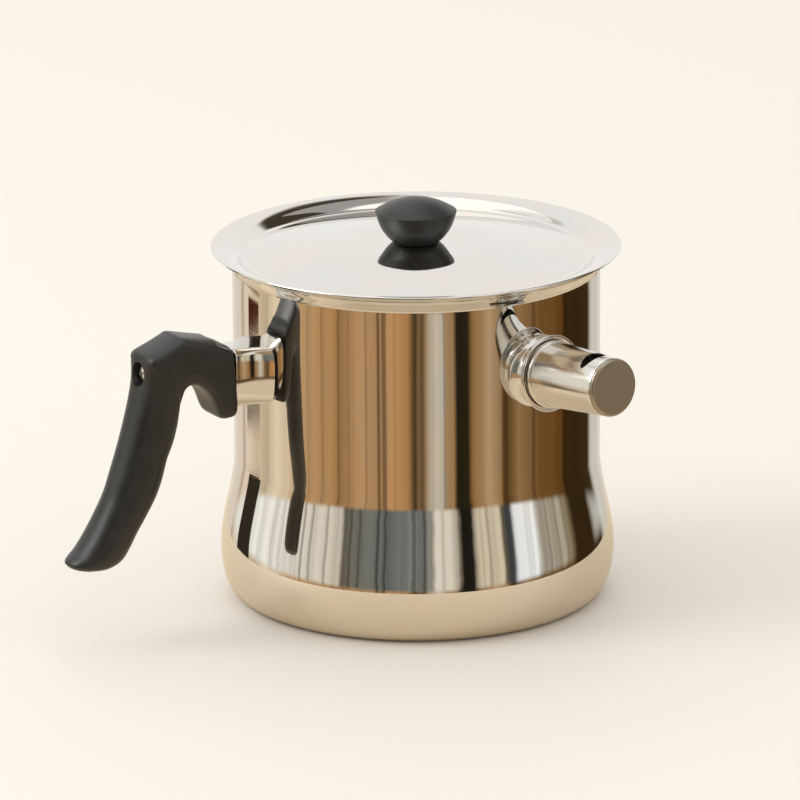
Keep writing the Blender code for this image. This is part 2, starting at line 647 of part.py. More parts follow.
def cap_height(radius, edge_radius, rise):
    """Height of a ball's cap above its edge, at a radius."""
    ball = (edge_radius ** 2 + rise ** 2) / (2.0 * rise)
    return rise - ball + sqrt(ball ** 2 - radius ** 2)


def lid_band_rise(radius):
    """How far the lid's dished band has risen above the crease at a radius."""
    share = (radius - LID_CREASE_RADIUS) / LID_BAND_WIDTH
    for (start, low), (end, high) in zip(LID_BAND_SHARES, LID_BAND_SHARES[1:]):
        if share <= end:
            break
    return LID_BAND_RISE * (low + (high - low) * (share - start) / (end - start))


def lid_crease_height():
    """Top of the lid's crease, with the underside of its band resting on the folded rim."""
    seat_radius, seat = max(inner_pot_outline(), key=lambda point: point[1])
    return seat + GAP + LID_SHEET - lid_band_rise(seat_radius)


def lid_dome_height(radius):
    """Top of the lid's shallow dome at a radius."""
    return lid_crease_height() + cap_height(radius, LID_CREASE_RADIUS, LID_DOME_RISE)


def lid_plate():
    """Pressed lid: shallow dome, crease and a dished band that rises to the edge."""
    crease = lid_crease_height()
    line = [(LID_HOLE_RADIUS, lid_dome_height(LID_HOLE_RADIUS))]
    steps = 5
    for i in range(1, steps):
        radius = LID_CREASE_RADIUS * i / steps
        line.append((radius, lid_dome_height(radius)))
    for out, up in LID_BAND_SHARES:
        line.append((LID_CREASE_RADIUS + LID_BAND_WIDTH * out, crease + LID_BAND_RISE * up))
    turned("lid_plate", sheet(line, -LID_SHEET), STEEL, BODY_STEPS, lid)


def knob_foot():
    """Underside of the knob, just clear of the lid's dome."""
    return lid_dome_height(0.0) + GAP


def lid_knob():
    """Turned knob: short neck, swelling bowl, crisp edge and low dome, with a socket for its insert."""
    foot = knob_foot()
    swell = KNOB_RADIUS - KNOB_NECK_RADIUS
    bowl = [(KNOB_NECK_RADIUS + swell * out, foot + KNOB_EDGE_HEIGHT * up) for out, up in KNOB_BOWL_SHARES]
    steps = 4
    crown = []
    for i in range(1, steps):
        radius = KNOB_RADIUS * (1.0 - i / steps)
        rise = cap_height(radius, KNOB_RADIUS, KNOB_HEIGHT - KNOB_EDGE_HEIGHT)
        crown.append((radius, foot + KNOB_EDGE_HEIGHT + rise))
    socket = INSERT_RADIUS + GAP
    flange = INSERT_FLANGE_RADIUS + GAP
    step = foot + INSERT_FLANGE + GAP
    roof = foot + INSERT_LENGTH + GAP
    outline = ([(flange, foot)] + bowl + crown + [(0.0, foot + KNOB_HEIGHT), (0.0, roof), (socket, roof),
               (socket, step), (flange, step)])
    turned("lid_knob", outline, BAKELITE, SMALL_STEPS, lid)


def knob_insert():
    """Flanged brass bush with a blind thread, pressed into the knob."""
    foot = knob_foot()
    bore = KNOB_SCREW_RADIUS + GAP
    depth = foot + KNOB_SCREW_REACH + GAP
    top = foot + INSERT_LENGTH
    flange = foot + INSERT_FLANGE
    outline = [(bore, foot), (INSERT_FLANGE_RADIUS, foot), (INSERT_FLANGE_RADIUS, flange),
               (INSERT_RADIUS, flange), (INSERT_RADIUS, top), (0.0, top), (0.0, depth), (bore, depth)]
    turned("knob_insert", outline, BRASS, PIN_STEPS, lid)


def knob_screw():
    """Screw and washer under the lid."""
    washer_top = lid_dome_height(KNOB_WASHER_RADIUS) - LID_SHEET - GAP
    washer_low = washer_top - KNOB_WASHER_THICKNESS
    hole = KNOB_SCREW_RADIUS + GAP
    ring = [(hole, washer_low), (KNOB_WASHER_RADIUS, washer_low), (KNOB_WASHER_RADIUS, washer_top),
            (hole, washer_top)]
    turned("knob_washer", ring, STEEL, SMALL_STEPS, lid)
    seat = washer_low - GAP
    low = seat - KNOB_SCREW_HEAD_HEIGHT
    tip = knob_foot() + KNOB_SCREW_REACH
    crown = KNOB_SCREW_HEAD_HEIGHT / 2.0
    outline = [(0.0, low), (KNOB_SCREW_HEAD_RADIUS / 2.0, low),
               (KNOB_SCREW_HEAD_RADIUS - crown / 2.0, low + crown / 4.0),
               (KNOB_SCREW_HEAD_RADIUS, low + crown), (KNOB_SCREW_HEAD_RADIUS, seat),
               (KNOB_SCREW_RADIUS, seat), (KNOB_SCREW_RADIUS, tip - GAP), (KNOB_SCREW_RADIUS - GAP, tip),
               (0.0, tip)]
    turned("knob_screw", outline, STEEL, PIN_STEPS, lid)


def clear_scene():
    for obj in list(bpy.data.objects):
        bpy.data.objects.remove(obj, do_unlink=True)


clear_scene()
spout = line_empty("spout_line", Matrix.Translation((0.0, 0.0, SPOUT_HEIGHT))
                   @ Matrix.Rotation(pi + SPOUT_TURN, 4, 'Z')
                   @ Matrix.Rotation(pi / 2.0 - SPOUT_TILT, 4, 'Y') @ Matrix.Rotation(pi, 4, 'Z'))
handle = line_empty("handle_line", Matrix.Rotation(pi, 4, 'Z'))
lid = line_empty("lid_line", Matrix.Identity(4))

outer_shell()
inner_pot()
base()
filler_neck()
whistle_body()
whistle_sleeve()
steam_disc("whistle_inner_disc", INNER_STEAM_DISC)
steam_disc("whistle_outer_disc", OUTER_STEAM_DISC)
whistle_end_cap()
handle_ferrule()
handle_bracket()
handle_grip()
handle_screw()
lid_plate()
lid_knob()
knob_insert()
knob_screw()
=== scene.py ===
# %% [markdown]
# # A mirror-steel milk boiler
#
# The real thing is a double-walled pot of polished stainless steel. It has a domed lid with a
# black knob, a black moulded handle behind a steel ferrule, and a whistle plugged on its filler
# neck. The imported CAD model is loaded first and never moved. Every piece that shows is then
# modelled again with finer curves, in the same place, and rides on the same moving body.

# %% Load the CAD frame
from math import cos, degrees, hypot, pi, radians, sin, sqrt

import bmesh
import bpy
from mathutils import Matrix, Vector


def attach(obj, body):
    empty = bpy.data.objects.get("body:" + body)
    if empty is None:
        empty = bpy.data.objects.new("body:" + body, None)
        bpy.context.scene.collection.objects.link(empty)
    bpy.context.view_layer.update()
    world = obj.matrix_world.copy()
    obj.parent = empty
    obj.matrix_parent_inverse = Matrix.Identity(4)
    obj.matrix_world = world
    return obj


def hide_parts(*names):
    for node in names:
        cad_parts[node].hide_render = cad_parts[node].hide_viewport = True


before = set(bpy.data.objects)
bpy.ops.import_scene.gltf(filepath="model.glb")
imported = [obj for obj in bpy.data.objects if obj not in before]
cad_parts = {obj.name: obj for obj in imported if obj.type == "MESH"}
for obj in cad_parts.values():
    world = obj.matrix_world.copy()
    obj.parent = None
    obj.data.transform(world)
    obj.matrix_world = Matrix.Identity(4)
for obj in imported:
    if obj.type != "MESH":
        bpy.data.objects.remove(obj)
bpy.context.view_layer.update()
MM = 0.001


# %% [markdown]
# ## Camera
#
# A long lens from nearly three metres away flattens the pot's ellipses, as a product photographer
# would have it. The camera could be placed by dragging it about. Here it is placed by numbers: how
# far round, how high, how far away and what it looks at, so each of them can be changed by itself.

# %% Camera
CAMERA_TURN = radians(240.0)
CAMERA_RISE = radians(16.446)
CAMERA_DISTANCE = 2.9495
CAMERA_ROLL = -0.0056
LENS = 303.6
SENSOR_WIDTH = 36.0
FAR_END = 60.0
AIM = Vector((-0.00635, 0.00367, 0.0856))


def heading(turn, rise):
    """The direction that lies so far round and so far up."""
    return Vector((cos(turn) * cos(rise), sin(turn) * cos(rise), sin(rise)))


towards_camera = heading(CAMERA_TURN, CAMERA_RISE)
bpy.ops.object.camera_add(location=AIM + towards_camera * CAMERA_DISTANCE)
camera = bpy.context.object
camera.name = "photo_camera"
facing = (-towards_camera).to_track_quat('-Z', 'Y').to_matrix()
camera.rotation_euler = (facing @ Matrix.Rotation(CAMERA_ROLL, 3, 'Z')).to_euler()
camera.data.lens = LENS
camera.data.sensor_width = SENSOR_WIDTH
camera.data.clip_end = FAR_END
bpy.context.scene.camera = camera
bpy.context.scene.view_settings.view_transform = 'Standard'
print("camera stands at", [round(v, 3) for v in camera.location])

# %% [markdown]
# ## Floor, light and surroundings
#
# A mirror has no look of its own: it shows what stands round it. So the studio matters as much
# as the steel. A photographer would place white screens, brown boards and black strips around the
# pot. The same thing can be done with one world: each direction gets a colour, as bands of tan,
# black and white that only a reflection sees, while the camera and the soft light see plain white.
#
# The bands go by the angle round the pot, one set below the horizon and one above it. Thin dark
# lines are ruled over them, as the edges of boards would show. The edge of the ground, three dark
# strips, a white screen behind the pot and some soft patches high up complete the studio.

# %% Node helpers
SHOWN_BY_STEEL = 0.80


def feed(tree, made, inputs):
    """Give a node its inputs: a plain value is set, and another node's output is linked."""
    for key, value in inputs.items():
        if isinstance(value, bpy.types.NodeSocket):
            tree.links.new(value, made.inputs[key])
        else:
            made.inputs[key].default_value = value


def node(tree, kind, inputs=None, label="", **settings):
    """Add one node, with a label that says what it is for."""
    made = tree.nodes.new(kind)
    made.label = label
    for key, value in settings.items():
        setattr(made, key, value)
    feed(tree, made, inputs or {})
    return made


def calc(tree, operation, *values, label=""):
    """Work out one number from others."""
    return node(tree, 'ShaderNodeMath', dict(enumerate(values)), label, operation=operation).outputs["Value"]


def vector_calc(tree, operation, inputs, label="", result="Vector"):
    """Work out a vector, or a number, from vectors."""
    return node(tree, 'ShaderNodeVectorMath', inputs, label, operation=operation).outputs[result]


# %% Noise, ranges and colours
def noise(tree, vector, scale, detail=2.0, roughness=0.5):
    """Soft random blots in space."""
    inputs = {"Vector": vector, "Scale": scale, "Detail": detail, "Roughness": roughness}
    return node(tree, 'ShaderNodeTexNoise', inputs).outputs["Fac"]


def stretch(tree, value, start, end, low=0.0, high=1.0, label="", **settings):
    """Map one range of values onto another."""
    inputs = {"Value": value, "From Min": start, "From Max": end, "To Min": low, "To Max": high}
    return node(tree, 'ShaderNodeMapRange', inputs, label, **settings).outputs["Result"]


def ease_between(tree, value, start, end, label=""):
    """0 below one value, 1 above another, and an S-curve in between."""
    return stretch(tree, value, start, end, label=label, interpolation_type='SMOOTHSTEP')


def blend_colours(tree, factor, first, second, label=""):
    """Mix two colours; each can be an output or a plain colour."""
    inputs = {"Factor": factor, "A": first, "B": second}
    return node(tree, 'ShaderNodeMix', inputs, label, data_type='RGBA').outputs["Result"]


def shown(red, green, blue):
    """The light that steel has to mirror to show a display colour from 0 to 255."""
    linear = []
    for value in (red, green, blue):
        share = value / 255.0
        linear.append(share / 12.92 if share <= 0.04045 else ((share + 0.055) / 1.055) ** 2.4)
    return tuple(min(value / SHOWN_BY_STEEL, 1.0) for value in linear) + (1.0,)


# %% What the wall and the belly mirror, by the angle from the camera, to the right
# Bands are (angle, display colour), and lines are (angle, half width, how much light is left).
LOW_BANDS = (
    (-180, (212, 206, 196)), (-144, (214, 200, 182)), (-140, (168, 150, 132)), (-137, (214, 200, 180)),
    (-118, (206, 186, 158)), (-108, (178, 160, 134)), (-105, (214, 196, 168)), (-92, (216, 198, 170)),
    (-80, (182, 148, 108)), (-62, (176, 138, 94)), (-54, (168, 130, 86)), (-50, (150, 112, 68)),
    (-46, (164, 126, 84)), (-32, (178, 141, 100)), (-21, (172, 134, 92)), (-14, (182, 138, 92)),
    (-5, (170, 125, 78)), (-3, (110, 84, 54)), (4, (118, 92, 62)), (6, (164, 136, 104)),
    (8, (186, 172, 150)), (16, (190, 180, 163)), (18, (160, 130, 94)), (23, (150, 118, 80)),
    (24.5, (34, 30, 18)), (33, (40, 34, 20)), (35, (140, 102, 58)), (46, (170, 142, 108)),
    (53, (150, 120, 84)), (55, (86, 60, 32)), (62, (112, 84, 50)), (66, (140, 108, 72)),
    (76, (122, 90, 54)), (84, (104, 74, 40)), (88, (110, 78, 40)), (102, (96, 64, 30)),
    (108, (50, 36, 16)), (136, (54, 40, 20)), (141, (192, 188, 176)), (180, (212, 206, 196)),
)
HIGH_BANDS = (
    (-180, (238, 235, 230)), (-112, (236, 230, 222)), (-98, (232, 228, 218)), (-77, (208, 203, 192)),
    (-60, (214, 206, 192)), (-47, (190, 182, 166)), (-45, (104, 98, 86)), (-30, (114, 114, 106)),
    (-18, (98, 100, 97)), (-5, (122, 124, 120)), (5, (112, 113, 108)), (9, (150, 146, 134)),
    (11, (214, 206, 190)), (22, (206, 198, 182)), (25, (120, 110, 92)), (26.5, (30, 28, 22)),
    (33, (32, 28, 22)), (34.5, (196, 184, 162)), (50, (206, 194, 170)), (52, (110, 100, 84)),
    (55, (54, 56, 58)), (58, (72, 74, 76)), (60, (238, 238, 238)), (75, (236, 232, 226)),
    (78, (156, 146, 130)), (95, (168, 158, 138)), (103, (120, 104, 76)), (107, (52, 38, 20)),
    (124, (48, 34, 16)), (130, (184, 178, 168)), (142, (238, 235, 230)), (180, (238, 235, 230)),
)
LOW_LINES = (
    (-72, 0.8, 0.80), (-62.3, 0.7, 0.55), (-50.4, 1.2, 0.58), (-43.3, 0.6, 0.66), (-38.7, 0.5, 0.78),
    (-32.1, 0.7, 0.66), (-23.9, 1.5, 0.22), (-20.4, 1.3, 0.26), (-13.8, 0.7, 0.76), (-1.2, 1.6, 0.42),
    (3.4, 1.1, 0.50), (9.2, 0.6, 0.70), (17.2, 0.8, 0.60), (40, 0.7, 0.84), (57, 1.4, 0.55),
    (78, 1.5, 0.55), (92, 0.9, 0.72), (106, 1.6, 0.5),
)
HIGH_LINES = (
    (-96, 0.8, 0.75), (-88, 0.7, 0.80), (-72, 0.9, 0.40), (-66, 0.8, 0.50), (-56, 0.8, 0.55),
    (-41, 1.2, 0.50), (-35, 0.8, 0.55), (-24, 1.2, 0.35), (-20, 1.0, 0.40), (-2, 1.6, 0.50),
    (4, 0.9, 0.45), (15, 0.8, 0.70), (19, 0.7, 0.76), (38, 0.6, 0.78), (42, 0.7, 0.70), (46, 0.6, 0.78),
    (84, 0.8, 0.60), (91, 0.7, 0.66), (98, 0.8, 0.60),
)
# The ground as mirrors show it: a painted colour, darker and warmer than the floor, which holds painted shade
# from near the pot.
SHADED_GROUND_IN_MIRROR = (0.74, 0.60, 0.42, 1.0)

print(len(LOW_BANDS), "bands below the horizon, and", len(HIGH_BANDS), "above it")


def by_angle(angle):
    """Where an angle in degrees stands on a ramp that goes once round."""
    return angle / 360.0 + 0.5


# %% Directions in the world
WAVER_SCALE = 6.0
WAVER = 0.006

world = bpy.data.worlds.new("studio")
bpy.context.scene.world = world
world.use_nodes = True
sky = world.node_tree
sky.nodes.clear()

looked_in = node(sky, 'ShaderNodeTexCoord', label="direction looked in").outputs["Generated"]
turned = node(sky, 'ShaderNodeMapping', {"Vector": looked_in, "Rotation": (0.0, 0.0, -CAMERA_TURN)},
              "angle zero is towards the camera").outputs["Vector"]
parts = node(sky, 'ShaderNodeSeparateXYZ', {"Vector": turned}).outputs
height = parts["Z"]
angle = calc(sky, 'ARCTAN2', parts["Y"], parts["X"], label="angle round")
share = stretch(sky, angle, -pi, pi, label="angle as a share of a turn")
wavered = calc(sky, 'MULTIPLY_ADD', noise(sky, turned, WAVER_SCALE), WAVER, share, label="edges that waver")
around = calc(sky, 'SUBTRACT', wavered, WAVER / 2.0, label="wavering share, centred again")
to_the_right = calc(sky, 'GREATER_THAN', around, 0.5, label="right of the camera")
print("angle zero looks at the camera, which stands", round(degrees(CAMERA_TURN)), "degrees round")

# %% Bands and lines of the studio
# Streaks are (how fine, how much light is left in a dark one).
LOW_STREAKS = (34.0, 0.90)
HIGH_STREAKS = (70.0, 0.84)
STREAK_ENDS = (0.38, 0.60)
STREAK_LIGHT = 1.04
LINES_A_RAMP = 7
LINE_CORE = 0.4


def ramp(stops, label):
    """Colours round the pot, from (place, colour) stops."""
    made = node(sky, 'ShaderNodeValToRGB', {"Fac": around}, label)
    elements = made.color_ramp.elements
    while len(elements) > 1:
        elements.remove(elements[-1])
    elements[0].position, elements[0].color = stops[0]
    for place, colour in stops[1:]:
        elements.new(place).color = colour
    return made.outputs["Color"]


def banded(rows, label):
    """Bands all round, as two ramps, because one ramp holds no more than 32 stops."""
    halves = []
    for first, last in ((-180, 0), (0, 180)):
        stops = [(by_angle(turn), shown(*colour)) for turn, colour in rows if first <= turn <= last]
        halves.append(ramp(stops, label))
    return blend_colours(sky, to_the_right, halves[0], halves[1], label)


def streaked(colour, fineness, dark, label):
    """Darken a colour in thin upright streaks, as folds in a hanging cloth would."""
    inputs = {"W": around, "Scale": fineness, "Detail": 3.0, "Roughness": 0.65}
    lines = node(sky, 'ShaderNodeTexNoise', inputs, label, noise_dimensions='1D').outputs["Fac"]
    strength = stretch(sky, lines, *STREAK_ENDS, dark, STREAK_LIGHT)
    return vector_calc(sky, 'SCALE', {"Vector": colour, "Scale": strength}, label)


def ruled(colour, rows, label):
    """Draw crisp dark lines over a colour."""
    for start in range(0, len(rows), LINES_A_RAMP):
        stops = [(0.0, (1.0, 1.0, 1.0, 1.0))]
        for turn, half, light in rows[start:start + LINES_A_RAMP]:
            for place, value in ((turn - half, 1.0), (turn - half * LINE_CORE, light),
                                 (turn + half * LINE_CORE, light), (turn + half, 1.0)):
                stops.append((by_angle(place), (value, value, value, 1.0)))
        colour = vector_calc(sky, 'MULTIPLY', {0: colour, 1: ramp(stops, label)}, label)
    return colour


low = streaked(banded(LOW_BANDS, "below the horizon"), *LOW_STREAKS, "faint streaks")
low = ruled(low, LOW_LINES, "edges of boards")
high = streaked(banded(HIGH_BANDS, "above the horizon"), *HIGH_STREAKS, "fine streaks")
high = ruled(high, HIGH_LINES, "edges of boards")
print("ruled", len(LOW_LINES) + len(HIGH_LINES), "lines over the bands")

# %% The studio, put together
# Strips are (from angle, to angle, bottom, top, display colour), and patches are
# (angle round, angle up, angle of the core, angle of the soft edge, display colour).
HORIZON = (-0.19, -0.12)
GROUND_SHADE = (-0.322, -0.310)
SHADE = (84, 62, 38)
GROUND_EDGE = (-0.350, -0.334)
CEILING = (0.45, 0.65)
BEHIND = (-0.55, -0.80)
ABOVE_FLOOR = (-0.10, 0.02)
STRIPS = (
    (-131, -118, -0.2745, -0.2620, (70, 34, 22)), (-135, -117, -0.2865, -0.2835, (58, 50, 40)),
    (-131, -116, -0.2610, 0.4200, (46, 41, 33)),
)
STRIP_SIDE = 0.8
STRIP_EDGE = 0.001
PATCHES = (
    (163, 44, 9, 13, (70, 63, 52)), (153, 50, 13, 18, (60, 54, 44)), (138, 50, 14, 19, (60, 54, 44)),
    (-5, 45, 15, 29, (150, 128, 100)), (-140, 46, 6, 13, (190, 186, 178)), (-128, 57, 4, 9, (168, 164, 156)),
)
WHITE_SCREEN = (0.97, 0.95, 0.92, 1.0)
SOFT_WHITE = (1.0, 0.99, 0.975, 1.0)


def layered(ends, below, above, label):
    """One colour below a height and another above it."""
    return blend_colours(sky, ease_between(sky, height, *ends), below, above, label)


studio = layered(HORIZON, low, high, "low and high bands")
studio = layered(GROUND_SHADE, shown(*SHADE), studio, "shade along the ground")
studio = layered(GROUND_EDGE, SHADED_GROUND_IN_MIRROR, studio, "edge of the ground")
for first, last, bottom, top, colour in STRIPS:
    mask = 1.0
    for value, start, end in ((around, by_angle(first), by_angle(first + STRIP_SIDE)),
                              (around, by_angle(last + STRIP_SIDE), by_angle(last)),
                              (height, bottom, bottom + STRIP_EDGE), (height, top + STRIP_EDGE, top)):
        mask = calc(sky, 'MULTIPLY', mask, ease_between(sky, value, start, end, "side of a strip"))
    studio = blend_colours(sky, mask, studio, shown(*colour), "a dark strip")
studio = layered(CEILING, studio, WHITE_SCREEN, "a white ceiling")
screen = calc(sky, 'MULTIPLY', ease_between(sky, parts["X"], *BEHIND, "behind the pot"),
              ease_between(sky, height, *ABOVE_FLOOR, "above the floor"))
studio = blend_colours(sky, screen, studio, WHITE_SCREEN, "a white screen stands behind")
for turn, rise, core, reach, colour in PATCHES:
    middle = heading(radians(turn), radians(rise))
    near = vector_calc(sky, 'DOT_PRODUCT', {0: turned, 1: middle}, "nearness to a patch", "Value")
    inside = ease_between(sky, near, cos(radians(reach)), cos(radians(core)))
    studio = blend_colours(sky, inside, studio, shown(*colour), "a soft patch high up")
mirrored = node(sky, 'ShaderNodeLightPath').outputs["Is Glossy Ray"]
picked = blend_colours(sky, mirrored, SOFT_WHITE, studio, "only a mirror sees the studio")
glow = node(sky, 'ShaderNodeBackground', {"Color": picked, "Strength": 1.0}, "soft light from all round")
node(sky, 'ShaderNodeOutputWorld', {"Surface": glow.outputs["Background"]})
print("world made of", len(sky.nodes), "nodes")

# %% Floor
FLOOR_REACH = 7.0
FLOOR_COLOUR = (0.820, 0.775, 0.700, 1.0)
FLOOR_ROUGHNESS = 0.62
GROUND_FRONT = 0.215
GROUND_SIDE = 0.20


def deselect():
    """Leave edit mode and select nothing, because operators act on all that is selected."""
    if bpy.context.object and bpy.context.object.mode != 'OBJECT':
        bpy.ops.object.mode_set(mode='OBJECT')
    bpy.ops.object.select_all(action='DESELECT')


def new_finish(name):
    """A material with an empty Principled shader, ready for its nodes."""
    made = bpy.data.materials.new(name)
    made.use_nodes = True
    return made, made.node_tree, made.node_tree.nodes["Principled BSDF"]


deselect()
bpy.ops.mesh.primitive_plane_add(size=2.0 * FLOOR_REACH, location=(0.0, 0.0, 0.0))
floor = bpy.context.object
floor.name = "floor"
floor_finish, tree, paint = new_finish("pale_floor")
spot = node(tree, 'ShaderNodeTexCoord').outputs["Object"]
plan = {"Vector": spot, "Rotation": (0.0, 0.0, CAMERA_TURN), "Scale": (GROUND_FRONT, GROUND_SIDE, 1.0)}
onto_ground = node(tree, 'ShaderNodeMapping', plan, "one is the ground's edge in the mirror",
                  vector_type='TEXTURE').outputs["Vector"]
far = vector_calc(tree, 'LENGTH', {0: onto_ground}, "how far out", "Value")
beyond = calc(tree, 'GREATER_THAN', far, 1.0, label="past the edge")
mirrored = node(tree, 'ShaderNodeLightPath').outputs["Is Glossy Ray"]
# Mirrors see the floor in a painted colour, darker and warmer than the floor itself: painted shade from near
# the pot, in the reflection.
warmer = blend_colours(tree, mirrored, FLOOR_COLOUR, SHADED_GROUND_IN_MIRROR, "painted darker and warmer in the mirror")
feed(tree, paint, {"Base Color": warmer, "Roughness": FLOOR_ROUGHNESS})
clear = node(tree, 'ShaderNodeBsdfTransparent').outputs["BSDF"]
open_floor = calc(tree, 'MULTIPLY', beyond, mirrored, label="a mirror looks past the ground")
mixed = node(tree, 'ShaderNodeMixShader', {"Fac": open_floor, 1: paint.outputs["BSDF"], 2: clear})
feed(tree, tree.nodes["Material Output"], {"Surface": mixed.outputs["Shader"]})
floor.data.materials.append(floor_finish)
print("the floor is", 2.0 * FLOOR_REACH, "m wide")

# %% Lamps
# Lamps are (name, place, width and height, power in watts).
LAMPS = (
    ("window_light", (-2.0, 0.7, 1.7), (1.3, 1.5), 22.0),
    ("ceiling_light", (0.3, 0.9, 2.6), (2.4, 2.4), 6.0),
)
LAMP_AIM = (0.0, 0.0, 0.08)


def softbox(name, place, size, power):
    """A flat lamp that looks at the pot, and that the camera doesn't see."""
    deselect()
    bpy.ops.object.light_add(type='AREA', location=place)
    lamp = bpy.context.object
    lamp.name = name
    lamp.rotation_euler = (Vector(LAMP_AIM) - Vector(place)).to_track_quat('-Z', 'Y').to_euler()
    lamp.data.shape = 'RECTANGLE'
    lamp.data.size, lamp.data.size_y = size
    lamp.data.energy = power
    lamp.visible_camera = False
    print(name, "burns at", power, "W")


for lamp_row in LAMPS:
    softbox(*lamp_row)

# %% [markdown]
# ## Finishes
#
# Polished stainless steel is a metal with a very low roughness, and still it is never perfect. The
# sheet was pressed, so its reflections wander. It was spun against a polishing wheel, so very fine
# rings run round it, and hands leave faint dull patches. All three could be painted in an image.
# Noise in the object's own coordinates does the same and has no seams.

# %% Polished steel
STEEL_COLOUR = (0.80, 0.785, 0.76, 1.0)
WARM_TINT = (1.015, 0.99, 0.955, 1.0)
COOL_TINT = (0.975, 0.99, 1.01, 1.0)
NOISE_ENDS = (0.35, 0.65)
TINT_SCALE = 34.0
SMEAR_SCALE = 26.0
RING_SCALE = 5200.0
DENT_SCALE = 19.0
DENT_SHAPE = (1.0, 1.0, 0.3)


def spread(tree, value, low, high):
    """Stretch the middle of a noise to a range of values."""
    return stretch(tree, value, *NOISE_ENDS, low, high)


def relief(tree, height, depth, below=None):
    """A bump of a real depth in metres, on top of another one."""
    inputs = {"Height": height, "Distance": depth}
    if below:
        inputs["Normal"] = below
    return node(tree, 'ShaderNodeBump', inputs).outputs["Normal"]


def ring_place(tree, spot, centre, turn, flat):
    """A value that changes only from one polishing ring to the next: along the axis, or outwards."""
    line = {"Vector": spot, "Location": centre, "Rotation": turn}
    placed = node(tree, 'ShaderNodeMapping', line, "onto the axis that it was turned on",
                  vector_type='TEXTURE').outputs["Vector"]
    if not flat:
        return node(tree, 'ShaderNodeSeparateXYZ', {"Vector": placed}).outputs["Z"]
    flattened = vector_calc(tree, 'MULTIPLY', {0: placed, 1: (1.0, 1.0, 0.0)})
    return vector_calc(tree, 'LENGTH', {0: flattened}, "distance from the axis", "Value")


def steel_finish(name, colour=STEEL_COLOUR, dull=(0.02, 0.05), centre=(0.0, 0.0, 0.0),
                 turn=(0.0, 0.0, 0.0), flat=False, wander=0.0004, rings=0.0000010):
    """Steel turned and polished round one axis."""
    made, tree, shader = new_finish(name)
    spot = node(tree, 'ShaderNodeTexCoord').outputs["Object"]
    cloudy = spread(tree, noise(tree, spot, TINT_SCALE, 3.0), 0.0, 1.0)
    warmer, cooler = (tuple(c * t for c, t in zip(colour, tint)) for tint in (WARM_TINT, COOL_TINT))
    ring = node(tree, 'ShaderNodeCombineXYZ', {"X": ring_place(tree, spot, centre, turn, flat)},
                "one noise value a ring").outputs["Vector"]
    upright = node(tree, 'ShaderNodeMapping', {"Vector": spot, "Scale": DENT_SHAPE},
                   "dents taller than wide").outputs["Vector"]
    dents = relief(tree, noise(tree, upright, DENT_SCALE, 1.0), wander)
    feed(tree, shader, {
        "Metallic": 1.0,
        "Base Color": blend_colours(tree, cloudy, warmer, cooler, "faint colour from the heat"),
        "Roughness": spread(tree, noise(tree, spot, SMEAR_SCALE, 4.0, 0.6), dull[0], dull[1]),
        "Normal": relief(tree, noise(tree, ring, RING_SCALE, 3.0, 0.7), rings, dents),
    })
    return made


wall_steel = steel_finish("polished_wall_steel", dull=(0.012, 0.036))
lid_steel = steel_finish("polished_lid_steel", flat=True, wander=0.00008)
print("steel finishes:", wall_steel.name, lid_steel.name)

# %% [markdown]
# ## How the turned pieces are made
#
# The pot, the lid, the knob and the whistle are all turned or pressed to a round shape. They could
# be cylinders pushed into shape ring by ring. It is quicker, and truer to a lathe, to draw half of
# the outline as a line of points, and to spin that line round the axis.

# %% Draw a line and spin it
FINE_TURN = 192
WELD = 0.002


def start_line(name, radius, height):
    """A mesh with one point in it: a tiny plane merged to its middle."""
    deselect()
    bpy.ops.mesh.primitive_plane_add(size=MM, location=(radius, 0.0, height))
    piece = bpy.context.object
    piece.name = name
    piece.data.name = name
    bpy.ops.object.transform_apply(location=True, rotation=True, scale=True)
    bpy.ops.object.mode_set(mode='EDIT')
    bpy.ops.mesh.select_all(action='SELECT')
    bpy.ops.mesh.merge(type='CENTER')
    return piece


def spin_line(name, line, steps=FINE_TURN, closed=False):
    """Extrude one point along (radius, height) points in mm, then spin the line round Z."""
    line = [(r * MM, z * MM) for r, z in line]
    piece = start_line(name, *line[0])
    for (r0, z0), (r1, z1) in zip(line, line[1:]):
        bpy.ops.mesh.extrude_vertices_move(TRANSFORM_OT_translate={"value": (r1 - r0, 0.0, z1 - z0)})
    if closed:
        edit = bmesh.from_edit_mesh(piece.data)
        edit.verts.ensure_lookup_table()
        edit.verts[0].select = True
        edit.select_flush(True)
        bmesh.update_edit_mesh(piece.data)
        bpy.ops.mesh.edge_face_add()
    bpy.ops.mesh.select_all(action='SELECT')
    bpy.ops.mesh.spin(steps=steps, angle=2.0 * pi, center=(0.0, 0.0, 0.0), axis=(0.0, 0.0, 1.0))
    bpy.ops.mesh.select_all(action='SELECT')
    bpy.ops.mesh.remove_doubles(threshold=WELD * MM)
    bpy.ops.mesh.normals_make_consistent(inside=False)
    bpy.ops.object.mode_set(mode='OBJECT')
    return piece


# %% Give a line its sheet
def face_towards(piece, way):
    """Turn an open sheet's faces so that on the whole they look the way a function gives."""
    total = sum(face.area * face.normal.dot(way(face.center)) for face in piece.data.polygons)
    if total < 0.0:
        bpy.ops.object.mode_set(mode='EDIT')
        bpy.ops.mesh.select_all(action='SELECT')
        bpy.ops.mesh.flip_normals()
        bpy.ops.object.mode_set(mode='OBJECT')


def outwards(point):
    """Away from the Z axis."""
    return Vector((point.x, point.y, 0.0)).normalized()


def add_modifier(piece, kind, **settings):
    """Add a modifier, set it and apply it at once."""
    modifier = piece.modifiers.new(kind.lower(), kind)
    for key, value in settings.items():
        setattr(modifier, key, value)
    bpy.context.view_layer.objects.active = piece
    bpy.ops.object.modifier_apply(modifier=modifier.name)


